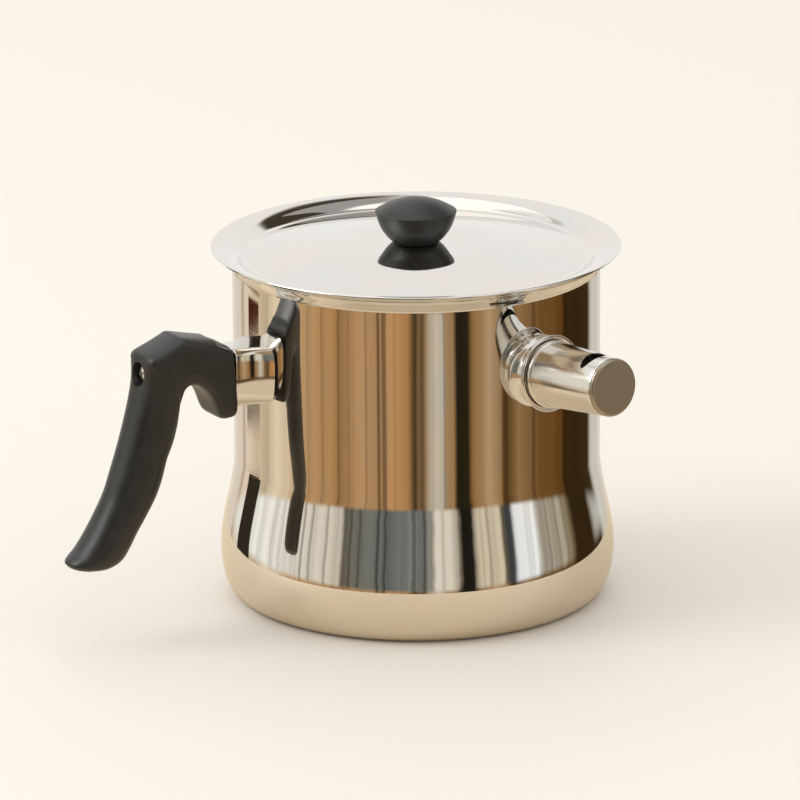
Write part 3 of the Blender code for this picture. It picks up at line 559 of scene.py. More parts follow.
def pressed(name, line, sheet, rounding, steps=FINE_TURN, way=outwards):
    """Spin a line, and give it its sheet behind it, in mm, with rounded edges."""
    piece = spin_line(name, line, steps)
    face_towards(piece, way)
    add_modifier(piece, 'SOLIDIFY', thickness=sheet * MM, offset=-1.0, use_even_offset=True)
    add_modifier(piece, 'BEVEL', width=rounding * MM, segments=3, limit_method='ANGLE',
                 angle_limit=radians(60.0))
    return piece


# %% Smooth a piece and hand it over
def smooth(piece, angle=40.0):
    """Shade a piece smoothly, but keep the edges that are sharper than an angle in degrees."""
    deselect()
    piece.select_set(True)
    bpy.context.view_layer.objects.active = piece
    bpy.ops.object.shade_smooth_by_angle(angle=radians(angle))


def hand_over(piece, finish, slot, body, *nodes, angle=40.0):
    """Smooth a piece, give it its material and body, and hide the CAD nodes that it stands for."""
    smooth(piece, angle)
    piece.data.materials.clear()
    piece.data.materials.append(finish)
    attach(piece, body)
    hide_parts(*nodes)
    print(piece.name, len(piece.data.polygons), "faces, stands for", ", ".join(nodes))


# %% Arcs and curves
def arc(centre, radius, start, end, steps, height=None):
    """Points of an arc between two angles in degrees; with a height it is an ellipse's arc."""
    points = []
    for i in range(steps + 1):
        turn = radians(start + (end - start) * i / steps)
        points.append((centre[0] + radius * cos(turn), centre[1] + (height or radius) * sin(turn)))
    return points


def swept(start, end, steps, curve=lambda share: share):
    """Points from one to another, without the first; a curve can bend the radius on the way."""
    (r0, z0), (r1, z1) = start, end
    return [(r0 + (r1 - r0) * curve(i / steps), z0 + (z1 - z0) * i / steps) for i in range(1, steps + 1)]


def smooth_through(rows, share):
    """A smooth curve through rows of (place, value)."""
    for i in range(len(rows) - 1):
        if share <= rows[i + 1][0]:
            break
    p0, p1, p2, p3 = (rows[max(0, min(len(rows) - 1, i + k))] for k in (-1, 0, 1, 2))
    step = p2[0] - p1[0]
    t = (share - p1[0]) / step
    slope1 = (p2[1] - p0[1]) / (p2[0] - p0[0]) * step
    slope2 = (p3[1] - p1[1]) / (p3[0] - p1[0]) * step
    return ((2 * t ** 3 - 3 * t ** 2 + 1) * p1[1] + (t ** 3 - 2 * t ** 2 + t) * slope1
            + (-2 * t ** 3 + 3 * t ** 2) * p2[1] + (t ** 3 - t ** 2) * slope2)


# %% [markdown]
# ## The pot
#
# The outer shell is one pressing: a flat bottom, a round belly, a straight wall and a short flare.
# The belly is a quarter of an ellipse, and an S-curve takes it in to the wall. Both could be
# sculpted by eye. Formulas keep them smooth, and on a mirror the eye finds every lump.

# %% Outer shell
BODY_RADIUS = 80.0
BELLY_RADIUS = 86.3
BELLY_HEIGHT = 21.0
WALL_FOOT = 64.0
WALL_TOP = 147.3
FOOT_RADIUS = 77.5
FOOT_LIFT = 0.8
FOOT_EDGE = ((0.0, 1.6), (0.3, 1.0), (1.0, FOOT_LIFT))
RECESS_START = 40.0
RECESS_RADIUS = 74.4
RECESS_HEIGHT = 4.9
RECESS_CORNER = 1.0
RIM_BEND = 1.2
RIM_SLOPE = 50.0
RIM_RADIUS = 84.5
SHELL_SHEET = 0.6
GAP = 0.3


def eased(share):
    """An S-curve from 0 to 1 whose bend also starts and ends gently."""
    return share * share * (3.0 - 2.0 * share)


def flare(inset, beyond, steps=8):
    """The bend and flare at the top of the wall, set in from the shell's outer face."""
    centre = Vector((BODY_RADIUS + RIM_BEND, WALL_TOP))
    out = Vector((cos(radians(RIM_SLOPE)), sin(radians(RIM_SLOPE))))
    inward = Vector((-out.y, out.x))
    bend_end = centre + inward * RIM_BEND
    edge = bend_end + out * ((RIM_RADIUS - bend_end.x) / out.x)
    line = arc(centre, RIM_BEND + inset, 180.0, 90.0 + RIM_SLOPE, steps)
    tip = edge + out * beyond + inward * inset
    middle = (Vector(line[-1]) + tip) / 2.0
    return line + [tuple(middle), tuple(tip)]


shell_line = [(RECESS_START, RECESS_HEIGHT), (RECESS_RADIUS - RECESS_CORNER, RECESS_HEIGHT),
              (RECESS_RADIUS, RECESS_HEIGHT - RECESS_CORNER)]
shell_line += [(RECESS_RADIUS + out, up) for out, up in FOOT_EDGE]
shell_line += arc((FOOT_RADIUS, BELLY_HEIGHT), BELLY_RADIUS - FOOT_RADIUS, -90.0, 0.0, 30,
                  BELLY_HEIGHT - FOOT_LIFT)
shell_line += swept((BELLY_RADIUS, BELLY_HEIGHT), (BODY_RADIUS, WALL_FOOT), 32, eased)
shell_line += swept((BODY_RADIUS, WALL_FOOT), (BODY_RADIUS, WALL_TOP), 12)[:-1]
shell_line += flare(0.0, 0.0)
shell = pressed("outer_shell_skin", shell_line, SHELL_SHEET, 0.2)
hand_over(shell, wall_steel, "polished_steel", "pot", "outer_shell")

# %% [markdown]
# The inner pot hangs in the shell from its folded rim. Its wall stands back all round, because the
# water goes between the two. Only its mouth shows with the lid off, but the whole vessel is made.

# %% Inner pot
INNER_RADIUS = 72.3
INNER_SHEET = 0.6
INNER_FLOOR = 12.4
INNER_CORNER = 15.0
SHOULDER_TOP = 140.0
SHOULDER_DROP = 9.0

inset = SHELL_SHEET + GAP
inner_line = [(0.0, INNER_FLOOR), (30.0, INNER_FLOOR)]
inner_line += arc((INNER_RADIUS - INNER_CORNER, INNER_FLOOR + INNER_CORNER), INNER_CORNER, -90.0, 0.0, 14)
shoulder = (INNER_RADIUS, SHOULDER_TOP - SHOULDER_DROP)
inner_line += swept(inner_line[-1], shoulder, 8)
inner_line += swept(shoulder, (BODY_RADIUS - inset, SHOULDER_TOP), 16, eased)
inner_line += flare(inset, GAP) + flare(0.0, GAP)[-1:]
inner = pressed("inner_pot_skin", inner_line, INNER_SHEET, 0.22)
inner_steel = steel_finish("polished_inner_steel", dull=(0.10, 0.20), wander=0.00008, rings=0.000002)
hand_over(inner, inner_steel, "polished_steel", "pot", "inner_pot")

# %% [markdown]
# Under the pot a steel cap holds the aluminium that spreads the heat. It is a shallow dish with a
# rounded corner, and it stands just proud of the shell, so the pot rests on it.

# %% Base cap
BASE_CAP_SHEET = 0.6
BASE_CAP_CORNER = 1.2


def downwards(point):
    """Towards the floor."""
    return Vector((0.0, 0.0, -1.0))


cap_outside = RECESS_RADIUS - GAP
cap_line = [(0.0, 0.0), (60.0, 0.0)]
cap_line += arc((cap_outside - BASE_CAP_CORNER, BASE_CAP_CORNER), BASE_CAP_CORNER, -90.0, 0.0, 8)
cap_line += [(cap_outside, RECESS_HEIGHT - GAP)]
base_cap = pressed("base_cap_skin", cap_line, BASE_CAP_SHEET, 0.15, way=downwards)
base_steel = steel_finish("brushed_base_steel", dull=(0.22, 0.36), flat=True, wander=0.00002,
                          rings=0.000006)
hand_over(base_cap, base_steel, "polished_steel", "pot", "base_cap")

# %% [markdown]
# ## Neck and whistle
#
# The filler neck leans up a little from the wall. Its pieces are made upright at the world's
# middle, where spinning is easy, and then carried onto the neck's own line. That line is the same
# as in the CAD: 111.7 mm up the axis, 100 degrees round from the handle, 3.5 degrees up.

# %% The neck's line
SPOUT_TURN = radians(100.0)
SPOUT_TILT = radians(3.5)
SPOUT_HEIGHT = 111.7
NECK_TURN = 128

turned_down = Matrix.Rotation(pi + SPOUT_TURN, 4, 'Z') @ Matrix.Rotation(pi / 2.0 - SPOUT_TILT, 4, 'Y')
spout_line = (Matrix.Translation((0.0, 0.0, SPOUT_HEIGHT * MM)) @ turned_down
              @ Matrix.Rotation(pi, 4, 'Z'))
ON_SPOUT = {"centre": (0.0, 0.0, SPOUT_HEIGHT * MM), "turn": tuple(spout_line.to_euler())}


def carry(piece, line):
    """Move an upright piece onto a line, and keep its object at the origin."""
    deselect()
    piece.select_set(True)
    bpy.context.view_layer.objects.active = piece
    piece.matrix_world = line
    bpy.ops.object.transform_apply(location=True, rotation=True, scale=True)


whistle_steel = steel_finish("polished_whistle_steel", wander=0.00004, dull=(0.09, 0.17), rings=0.000002,
                             **ON_SPOUT)
print("the neck leans", round(degrees(SPOUT_TILT), 1), "degrees up")

# %% [markdown]
# The neck is a short trumpet. It meets the wall in a fillet that would be round on a flat wall, so
# the points near its root are moved in and out to follow the curve of the pot.

# %% Filler neck
NECK_RADIUS = 12.0
NECK_SHEET = 0.9
NECK_ROOT = 79.0
NECK_FILLET = 4.2
NECK_FLARE_START = BODY_RADIUS + NECK_FILLET
NECK_LIP = 89.4
NECK_LIP_RADIUS = 16.3
SUNK = 0.6

run = NECK_LIP - NECK_SHEET - NECK_FLARE_START
rise = NECK_LIP_RADIUS - NECK_RADIUS
inside = NECK_RADIUS - NECK_SHEET
foot_out = NECK_RADIUS + NECK_FILLET
neck_line = [(inside, NECK_ROOT), (foot_out, BODY_RADIUS - SUNK)]
neck_line += arc((foot_out, NECK_FLARE_START - 0.03), NECK_FILLET, 270.0, 180.0, 16)
flare_centre = (NECK_LIP_RADIUS, NECK_FLARE_START)
neck_line += arc(flare_centre, rise, 180.0, 90.0, 12, run)[1:]
lip_middle = NECK_LIP - NECK_SHEET / 2.0
neck_line += arc((NECK_LIP_RADIUS - 0.05, lip_middle), NECK_SHEET / 2.0, -80.0, 90.0, 8)
neck_line += arc(flare_centre, rise + NECK_SHEET, 90.0, 180.0, 12, run + NECK_SHEET)
neck = spin_line("filler_neck_trumpet", neck_line, NECK_TURN, closed=True)
for vert in neck.data.vertices:
    up, aside, along = vert.co / MM
    wall = (sqrt(BODY_RADIUS ** 2 - aside ** 2) + up * sin(SPOUT_TILT)) / cos(SPOUT_TILT)
    near = min(max((NECK_FLARE_START - along) / NECK_FILLET, 0.0), 1.0)
    if hypot(up, aside) > NECK_RADIUS - 0.1:
        vert.co.z += (wall - BODY_RADIUS) * eased(near) * MM
carry(neck, spout_line)
hand_over(neck, whistle_steel, "polished_steel", "pot", "filler_neck")

# %% [markdown]
# Water runs through the neck into the jacket, so the shell has a bore there. A cylinder on the
# neck's line is cut out of it by a Boolean, and the other cutters below are used in the same way.

# %% The neck's bore through the shell
BORE_PLAY = 0.4
BORE_LENGTH = 12.0


def round_cutter(radius, length, place, corners, turn=(0.0, 0.0, 0.0)):
    """A cylinder with its size in mm."""
    deselect()
    bpy.ops.mesh.primitive_cylinder_add(vertices=corners, radius=radius * MM, depth=length * MM,
                                        location=place, rotation=turn)
    bpy.ops.object.transform_apply(location=True, rotation=True, scale=True)
    return bpy.context.object


def cut_away(piece, cutter):
    """Boolean difference, after which the cutter goes."""
    add_modifier(piece, 'BOOLEAN', operation='DIFFERENCE', solver='EXACT', object=cutter)
    bpy.data.objects.remove(cutter, do_unlink=True)


bore_cutter = round_cutter(inside + BORE_PLAY, BORE_LENGTH, (0.0, 0.0, BODY_RADIUS * MM), 96)
carry(bore_cutter, spout_line)
cut_away(shell, bore_cutter)
smooth(shell)
print("bore cut,", len(shell.data.polygons), "faces in the shell")

# %% [markdown]
# The whistle's tube tapers to its tip. A bead is rolled round its mouth, and near the tip an oval
# window lets the steam out. The window could be modelled into the grid of faces. A Boolean with an
# oval cutter is simpler, and the grid is fine enough that the mirror stays smooth beside it.

# %% Whistle tube
WHISTLE_SHEET = 0.7
MOUTH = 89.7
TIP = 127.6
MOUTH_RADIUS = 14.1
TIP_RADIUS = 12.5
BEAD_RADIUS = 14.8
BEAD_LENGTH = 2.4
WINDOW_PLACE = 119.4
WINDOW_HALF_LENGTH = 3.1
WINDOW_HALF_WIDTH = 9.4
WINDOW_REACH = 9.0
WINDOW_DEPTH = 18.0
TIP_EDGE = ((0.0, 0.3), (0.1, 0.05), (0.3, 0.0))


def tube_radius(place):
    """The tube's outer radius so far along the neck's line."""
    return MOUTH_RADIUS - (MOUTH_RADIUS - TIP_RADIUS) * (place - MOUTH) / (TIP - MOUTH)


bead_end = MOUTH + BEAD_LENGTH
bead = BEAD_RADIUS - tube_radius(bead_end)
mouth_inside = (tube_radius(MOUTH) - WHISTLE_SHEET, MOUTH)
tip_inside = (TIP_RADIUS - WHISTLE_SHEET, TIP)
after_bead = bead_end + 0.4
before_tip = TIP - 0.3
tube_line = [mouth_inside]
tube_line += arc((tube_radius(bead_end), MOUTH + BEAD_LENGTH / 2.0), bead, -90.0, 90.0, 16, BEAD_LENGTH / 2.0)
tube_line += swept((tube_radius(after_bead), after_bead), (tube_radius(before_tip), before_tip), 24)[:-1]
tube_line += [(TIP_RADIUS - inwards, TIP - back) for inwards, back in TIP_EDGE]
tube_line += [tip_inside] + swept(tip_inside, mouth_inside, 12)[:-1]
tube = spin_line("whistle_tube", tube_line, NECK_TURN, closed=True)


def stretched(cutter, line, size):
    """Stretch a cutter of unit size to a size in mm, on a line."""
    cutter.matrix_world = line @ Matrix.Diagonal([side * MM for side in size] + [1.0])
    bpy.ops.object.transform_apply(location=True, rotation=True, scale=True)
    return cutter


deselect()
bpy.ops.mesh.primitive_cylinder_add(vertices=64, radius=1.0, depth=1.0)
window_line = (Matrix.Translation((WINDOW_REACH * MM, 0.0, WINDOW_PLACE * MM))
               @ Matrix.Rotation(pi / 2.0, 4, 'Y'))
window = (WINDOW_HALF_LENGTH, WINDOW_HALF_WIDTH, WINDOW_DEPTH)
cut_away(tube, stretched(bpy.context.object, window_line, window))
carry(tube, spout_line)
hand_over(tube, whistle_steel, "polished_steel", "whistle", "whistle_body", angle=35.0)

# %% [markdown]
# A cap with a short skirt closes the tip. It could be a plain disc, but its rounded edge and its
# slightly crowned face are what catch the light, so its outline is spun as well. In the photograph
# it is duller and darker than the tube, so it has a steel of its own.

# %% End cap
END_CAP_THICKNESS = 1.7
END_CAP_ROUND = 1.3
END_CAP_SKIRT = 4.6
END_CAP_EDGE = ((0.25, 0.0), (0.05, 0.08), (0.0, 0.25))
END_CAP_CROWN = ((11.0, 0.05), (9.0, 0.02), (5.0, 0.0), (0.0, 0.0))
END_COLOUR = (0.43, 0.38, 0.30, 1.0)

cap_low = TIP + GAP
cap_face = cap_low + END_CAP_THICKNESS - 0.03
skirt = tube_radius(TIP) - WHISTLE_SHEET - GAP
skirt_inside = skirt - WHISTLE_SHEET
end_line = [(0.0, cap_low), (skirt_inside, cap_low), (skirt_inside, cap_low - END_CAP_SKIRT),
            (skirt, cap_low - END_CAP_SKIRT), (skirt, cap_low)]
end_line += [(TIP_RADIUS - inwards, cap_low + up) for inwards, up in END_CAP_EDGE]
end_line += arc((TIP_RADIUS - END_CAP_ROUND, cap_face - END_CAP_ROUND), END_CAP_ROUND, 0.0, 78.0, 10)
end_line += [(radius, cap_face - down) for radius, down in END_CAP_CROWN]
end_cap = spin_line("whistle_end", end_line, NECK_TURN)
carry(end_cap, spout_line)
end_steel = steel_finish("dull_end_steel", colour=END_COLOUR, dull=(0.22, 0.34), flat=True,
                         wander=0.00002, rings=0.000004, **ON_SPOUT)
hand_over(end_cap, end_steel, "satin_steel", "whistle", "whistle_end_cap", angle=50.0)

# %% [markdown]
# Inside the whistle sit two small cups, each with a hole: steam that rushes through both holes
# makes the sound. A split sleeve plugs the whistle into the neck and springs a little. They show
# through the window, and when the whistle is pulled off.

# %% Sounding cups
CUP_SHEET = 0.6
CUP_SKIRT = 3.0
CUP_CORNER = 0.9
HOLE_RADIUS = 1.6
CUP_COLOUR = (0.62, 0.60, 0.57, 1.0)
CUPS = (("whistle_inner_disc", 96.5), ("whistle_outer_disc", 103.5))

cup_steel = steel_finish("satin_cup_steel", colour=CUP_COLOUR, dull=(0.26, 0.36), flat=True,
                         wander=0.00001, rings=0.000003, **ON_SPOUT)
for name, place in CUPS:
    rim = tube_radius(place + CUP_SKIRT) - WHISTLE_SHEET - GAP
    cup_line = [(HOLE_RADIUS, place), (rim - CUP_CORNER - 0.3, place)]
    cup_line += arc((rim - CUP_CORNER, place + CUP_CORNER), CUP_CORNER, -90.0, 0.0, 6)
    cup_line += [(rim, place + CUP_SKIRT)]
    cup = pressed(name + "_cup", cup_line, CUP_SHEET, 0.12, 96)
    carry(cup, spout_line)
    hand_over(cup, cup_steel, "satin_steel", "whistle", name)

# %% Split sleeve
SLEEVE_SHEET = 0.7
SLEEVE_ROOT = 79.4
SLEEVE_BEND = 0.8
SLOTS = 3
SLOT_WIDTH = 1.4
SLOT_LENGTH = 7.0
SLOT_REACH = 16.0
SLOT_OVERRUN = 2.0


def block_cutter(line, size):
    """A block with its size in mm."""
    deselect()
    bpy.ops.mesh.primitive_cube_add(size=1.0)
    return stretched(bpy.context.object, line, size)


sleeve_outside = NECK_RADIUS - NECK_SHEET - GAP
seat = MOUTH + BEAD_LENGTH / 2.0
sleeve_line = [(sleeve_outside, place)
               for place in (SLEEVE_ROOT, SLEEVE_ROOT + SLOT_LENGTH, seat - SLEEVE_BEND)]
sleeve_line += arc((sleeve_outside + SLEEVE_BEND, seat - SLEEVE_BEND), SLEEVE_BEND, 180.0, 90.0, 5)
sleeve_line += [(tube_radius(seat) - WHISTLE_SHEET - GAP, seat)]
sleeve = pressed("whistle_spring_sleeve", sleeve_line, SLEEVE_SHEET, 0.12, 96)
slot_middle = SLEEVE_ROOT + SLOT_LENGTH / 2.0 - SLOT_OVERRUN / 2.0
for i in range(SLOTS):
    slot_line = (Matrix.Rotation(2.0 * pi * i / SLOTS + pi / 2.0, 4, 'Z')
                 @ Matrix.Translation((SLOT_REACH / 2.0 * MM, 0.0, slot_middle * MM)))
    cut_away(sleeve, block_cutter(slot_line, (SLOT_REACH, SLOT_WIDTH, SLOT_LENGTH + SLOT_OVERRUN)))
carry(sleeve, spout_line)
hand_over(sleeve, whistle_steel, "polished_steel", "whistle", "whistle_sleeve")

# %% [markdown]
# ## Handle
#
# The ferrule is a box of thin steel with rounded corners, which flares from the grip to the wall.
# It could be a bevelled cube. Extruding one rounded section towards the pot, and widening it a
# little more at each step, gives the hollow flare of the pressed part.

# %% Ferrule
FERRULE_TOP = 124.0
FERRULE_BOTTOM = 98.0
FERRULE_END = 94.7
FERRULE_WALL_HALF_WIDTH = 13.4
FERRULE_END_HALF_WIDTH = 9.3
FERRULE_SHEET = 0.8
FERRULE_POWER = 2.3
FERRULE_TOP_ROUND = 3.4
FERRULE_BOTTOM_ROUND = 5.0
FERRULE_CROWN = 0.08
FERRULE_LEAN = 0.03
FERRULE_FULLNESS = 1.015
FERRULE_ARCH = 0.02
FERRULE_EDGE = ((0.0, 0.5), (0.15, 0.15), (0.5, 0.0))
FERRULE_CORE = 85.0
FERRULE_SUNK = 4.0
FERRULE_PLAY = 0.05
FERRULE_STEPS = 24

handle_line = Matrix.Rotation(pi, 4, 'Z')
middle = (FERRULE_TOP + FERRULE_BOTTOM) / 2.0
tall = (FERRULE_TOP - FERRULE_BOTTOM) / 2.0


def ferrule_half_width(place):
    """Half of the box's width: nearly even at the grip, and widening fast near the wall."""
    share = (FERRULE_END - place) / (FERRULE_END - BODY_RADIUS)
    widening = FERRULE_WALL_HALF_WIDTH - FERRULE_END_HALF_WIDTH
    return FERRULE_END_HALF_WIDTH + widening * share ** FERRULE_POWER


# %% Loft from ring to ring
def select_where(piece, test):
    """In edit mode, select the vertices whose place passes a test."""
    edit = bmesh.from_edit_mesh(piece.data)
    for vert in edit.verts:
        vert.select = test(vert.co)
    edit.select_flush(True)
    bmesh.update_edit_mesh(piece.data)


def place_ring(piece, points):
    """Move the selected ring of vertices, in their order round it, to a section's points."""
    edit = bmesh.from_edit_mesh(piece.data)
    ring = [vert for vert in edit.verts if vert.select]
    ring.sort(key=lambda vert: vert.index)
    for vert, point in zip(ring, points):
        vert.co = point
    bmesh.update_edit_mesh(piece.data)


def loft(name, rings):
    """Start with a circle, and extrude it from one ring of points to the next."""
    deselect()
    bpy.ops.mesh.primitive_circle_add(vertices=len(rings[0]), radius=10.0 * MM, fill_type='NOTHING')
    piece = bpy.context.object
    piece.name = name
    piece.data.name = name
    bpy.ops.object.mode_set(mode='EDIT')
    bpy.ops.mesh.select_all(action='SELECT')
    place_ring(piece, rings[0])
    for ring in rings[1:]:
        bpy.ops.mesh.extrude_edges_move(TRANSFORM_OT_translate={"value": (0.0, 0.0, 0.0)})
        place_ring(piece, ring)
    return piece


def close_up():
    """Turn all of the edited mesh's faces outwards, and leave edit mode."""
    bpy.ops.mesh.select_all(action='SELECT')
    bpy.ops.mesh.normals_make_consistent(inside=False)
    bpy.ops.object.mode_set(mode='OBJECT')


# %% The ferrule's rings
def ferrule_ring(place, half, shrink=0.0):
    """A box section with round corners; its sides bulge a little, as pressed sheet does."""
    corners = ((1, 1, FERRULE_TOP_ROUND, 0.0), (-1, 1, FERRULE_TOP_ROUND, 90.0),
               (-1, -1, FERRULE_BOTTOM_ROUND, 180.0), (1, -1, FERRULE_BOTTOM_ROUND, 270.0))
    outline = []
    for across, up, bend, start in corners:
        centre = (across * (half - shrink - bend), up * (tall - shrink - bend))
        outline.append(arc(centre, bend, start, start + 90.0, 10))
    points = []
    for i, corner in enumerate(outline):
        points += corner
        follows = outline[(i + 1) % 4][0]
        for k in range(1, 8):
            points.append(tuple(Vector(corner[-1]).lerp(Vector(follows), k / 8)))
    ring = []
    for across, up in points:
        bulge = FERRULE_FULLNESS - FERRULE_CROWN * (up / tall) ** 2 + FERRULE_LEAN * up / tall
        crowned = 1.0 - FERRULE_ARCH * (across / half) ** 2
        ring.append(Vector((place, across * bulge, middle + up * crowned)) * MM)
    return ring


root = BODY_RADIUS - FERRULE_SUNK
rings = [ferrule_ring(FERRULE_END - back, FERRULE_END_HALF_WIDTH, shrink) for back, shrink in FERRULE_EDGE]
for i in range(1, FERRULE_STEPS + 1):
    place = FERRULE_END + (root - FERRULE_END) * i / FERRULE_STEPS
    rings.append(ferrule_ring(place, ferrule_half_width(place)))
print("the ferrule has", len(rings), "rings of", len(rings[0]), "points")

# %% Lofted ferrule
ferrule = loft("handle_ferrule_box", rings)
select_where(ferrule, lambda co: co.x > (FERRULE_END - 0.05) * MM)
bpy.ops.mesh.edge_face_add()
close_up()
ferrule_core = Vector((FERRULE_CORE * MM, 0.0, middle * MM))
face_towards(ferrule, lambda point: (point - ferrule_core).normalized())
add_modifier(ferrule, 'SOLIDIFY', thickness=FERRULE_SHEET * MM, offset=-1.0, use_even_offset=True)
cut_away(ferrule, round_cutter(BODY_RADIUS + FERRULE_PLAY, 60.0, (0.0, 0.0, middle * MM), FINE_TURN))
carry(ferrule, handle_line)
ferrule_steel = steel_finish("polished_ferrule_steel", turn=(0.0, pi / 2.0, 0.0), wander=0.00008,
                             dull=(0.03, 0.06), rings=0.0000055)
hand_over(ferrule, ferrule_steel, "polished_steel", "pot", "handle_ferrule", angle=35.0)

# %% [markdown]
# The grip is one moulding: a short arm with a lip at the ferrule, an elbow, and a long leg that
# ends in a toe. It could be sculpted. Here it is lofted: a ring is extruded from section to
# section, each between a point of the back line and a point of the palm line. These sections are
# the same as the CAD's, and a smooth curve through them gives the ones in between. The arm's
# sections are nearly square and a little crowned, so its top is a facet, and the leg's are oval.

# %% Grip sections
GRIP_START = 95.0
GRIP_REACH = 78.0
GRIP_TOP = 131.0
GRIP_FALL = 97.7
GRIP_HALF_WIDTH = 11.2
GRIP_ROWS = (
    (0.020, 0.049, -0.010, 0.355, 0.94), (0.040, 0.039, 0.008, 0.371, 0.97),
    (0.071, 0.027, 0.045, 0.377, 0.98), (0.100, 0.013, 0.078, 0.375, 0.99),
    (0.118, 0.006, 0.098, 0.362, 1.00), (0.141, 0.002, 0.113, 0.332, 1.00),
    (0.173, -0.003, 0.133, 0.291, 1.00), (0.212, -0.009, 0.169, 0.246, 1.00),
    (0.262, -0.018, 0.224, 0.212, 1.00), (0.320, -0.0275, 0.268, 0.207, 1.00),
    (0.345, -0.020, 0.281, 0.211, 1.00), (0.421, 0.006, 0.300, 0.226, 1.00),
    (0.495, 0.029, 0.308, 0.248, 1.00), (0.522, 0.042, 0.312, 0.262, 1.00),
    (0.534, 0.060, 0.315, 0.275, 1.00), (0.538, 0.078, 0.317, 0.289, 0.99),
    (0.547, 0.154, 0.322, 0.330, 0.98), (0.574, 0.246, 0.334, 0.393, 0.96),
    (0.614, 0.352, 0.358, 0.461, 0.95), (0.656, 0.456, 0.393, 0.528, 0.94),
    (0.704, 0.561, 0.422, 0.608, 0.94), (0.751, 0.659, 0.459, 0.680, 0.94),
    (0.813, 0.751, 0.515, 0.753, 0.95), (0.877, 0.833, 0.578, 0.827, 0.96),
    (0.938, 0.895, 0.628, 0.896, 0.95), (0.982, 0.925, 0.676, 0.950, 0.90),
    (0.9985, 0.944, 0.753, 0.980, 0.78), (0.987, 0.960, 0.853, 0.985, 0.52),
)
BACK_SQUARE = (
    12.0, 12.0, 12.0, 11.0, 10.0, 9.0, 9.0, 9.0, 9.0, 9.0, 9.0, 9.0, 9.0, 8.0, 6.5, 4.6, 3.4, 2.9, 2.6,
    2.5, 2.4, 2.3, 2.3, 2.3, 2.3, 2.3, 2.3, 2.3,
)
PALM_SQUARE = (
    7.0, 7.0, 6.5, 6.0, 5.5, 5.0, 4.6, 4.3, 4.0, 3.8, 3.6, 3.4, 3.3, 3.2, 3.0, 2.7, 2.5, 2.4, 2.3, 2.2,
    2.2, 2.2, 2.2, 2.2, 2.2, 2.2, 2.2, 2.3,
)
TOP_CROWN = (
    0.10, 0.12, 0.14, 0.15, 0.16, 0.17, 0.17, 0.17, 0.17, 0.17, 0.17, 0.17, 0.15, 0.11, 0.07, 0.04,
    0.02, 0.0, 0.0, 0.0, 0.0, 0.0, 0.0, 0.0, 0.0, 0.0, 0.0, 0.0,
)
GRIP_RING = 72
BETWEEN = 5
GRIP_LIP = ((0.93, 0.0), (0.98, 0.12), (1.0, 0.45))
SQUARES = (BACK_SQUARE, PALM_SQUARE, TOP_CROWN)
TOE_SQUARES = (2.3, 2.3, 0.0)
TOE_REACH = 1.8
TOE_SHARES = (0.93, 0.80, 0.60, 0.35)
OPEN_END_ABOVE = 90.0


def signed_power(value, power):
    """A power that keeps the sign of its value."""
    return abs(value) ** power * (1.0 if value > 0.0 else -1.0)


def grip_section(row, squares, scale=1.0, outwards_by=0.0):
    """Points of one rounded section, from its back point round to its palm point and back."""
    back, palm = (Vector((GRIP_START + GRIP_REACH * out + outwards_by, 0.0, GRIP_TOP - GRIP_FALL * down)) * MM
                  for out, down in (row[0:2], row[2:4]))
    half = GRIP_HALF_WIDTH * row[4] * MM * scale
    points = []
    for i in range(GRIP_RING):
        turn = 2.0 * pi * (i + 0.5) / GRIP_RING
        square = squares[0] if cos(turn) > 0.0 else squares[1]
        c = signed_power(cos(turn), 2.0 / square)
        s = signed_power(sin(turn), 2.0 / square)
        if c > 0.0:
            c *= 1.0 - squares[2] * s * s
        points.append((back + palm) / 2.0 + (back - palm) / 2.0 * c * scale + Vector((0.0, half * s, 0.0)))
    return points


# %% Grip
def values_at(columns, place):
    """Each column's value at a place between its listed ones."""
    return [smooth_through(list(enumerate(column)), place) for column in columns]


rings = [grip_section(GRIP_ROWS[0], values_at(SQUARES, 0), scale, out) for scale, out in GRIP_LIP]
for i in range(2, (len(GRIP_ROWS) - 1) * BETWEEN + 1):
    place = i / BETWEEN
    rings.append(grip_section(values_at(zip(*GRIP_ROWS), place), values_at(SQUARES, place)))
for share in TOE_SHARES:
    rings.append(grip_section(GRIP_ROWS[-1], TOE_SQUARES, share, TOE_REACH * (1.0 - share ** 2)))
grip = loft("handle_grip_moulding", rings)
bpy.ops.mesh.edge_face_add()
edit = bmesh.from_edit_mesh(grip.data)
for edge in edit.edges:
    edge.select_set(edge.is_boundary and edge.verts[0].co.z > OPEN_END_ABOVE * MM)
bmesh.update_edit_mesh(grip.data)
bpy.ops.mesh.edge_face_add()
close_up()
print("grip lofted through", len(rings), "rings of", GRIP_RING, "points")

# %% Screw recess in the grip's back
SCREW_HEIGHT = 118.0
RECESS_SIZE = 5.3
RECESS_FLOOR = 132.0
RECESS_CUT = 30.0

recess_place = ((RECESS_FLOOR + RECESS_CUT / 2.0) * MM, 0.0, SCREW_HEIGHT * MM)
cut_away(grip, round_cutter(RECESS_SIZE, RECESS_CUT, recess_place, 64, (0.0, pi / 2.0, 0.0)))
carry(grip, handle_line)
print("recess cut,", len(grip.data.polygons), "faces in the grip")

# %% [markdown]
# ## Black moulded resin
#
# Bakelite is nearly black, neither shiny nor dull, and has a very fine grain from its mould. A
# plain dark colour would look like a hole in the picture. A fine bump breaks up the highlights, and
# a little noise in the roughness gives the worn, slightly greasy sheen of a handled piece.

# %% Black bakelite
BLACK = (0.0080, 0.0076, 0.0062, 1.0)
GREY_BLOOM = (0.0135, 0.0132, 0.0112, 1.0)
GRAIN_SCALE = 1500.0
GRAIN_DEPTH = 0.00003
MOTTLE_SCALE = 90.0
RESIN_IOR = 1.56


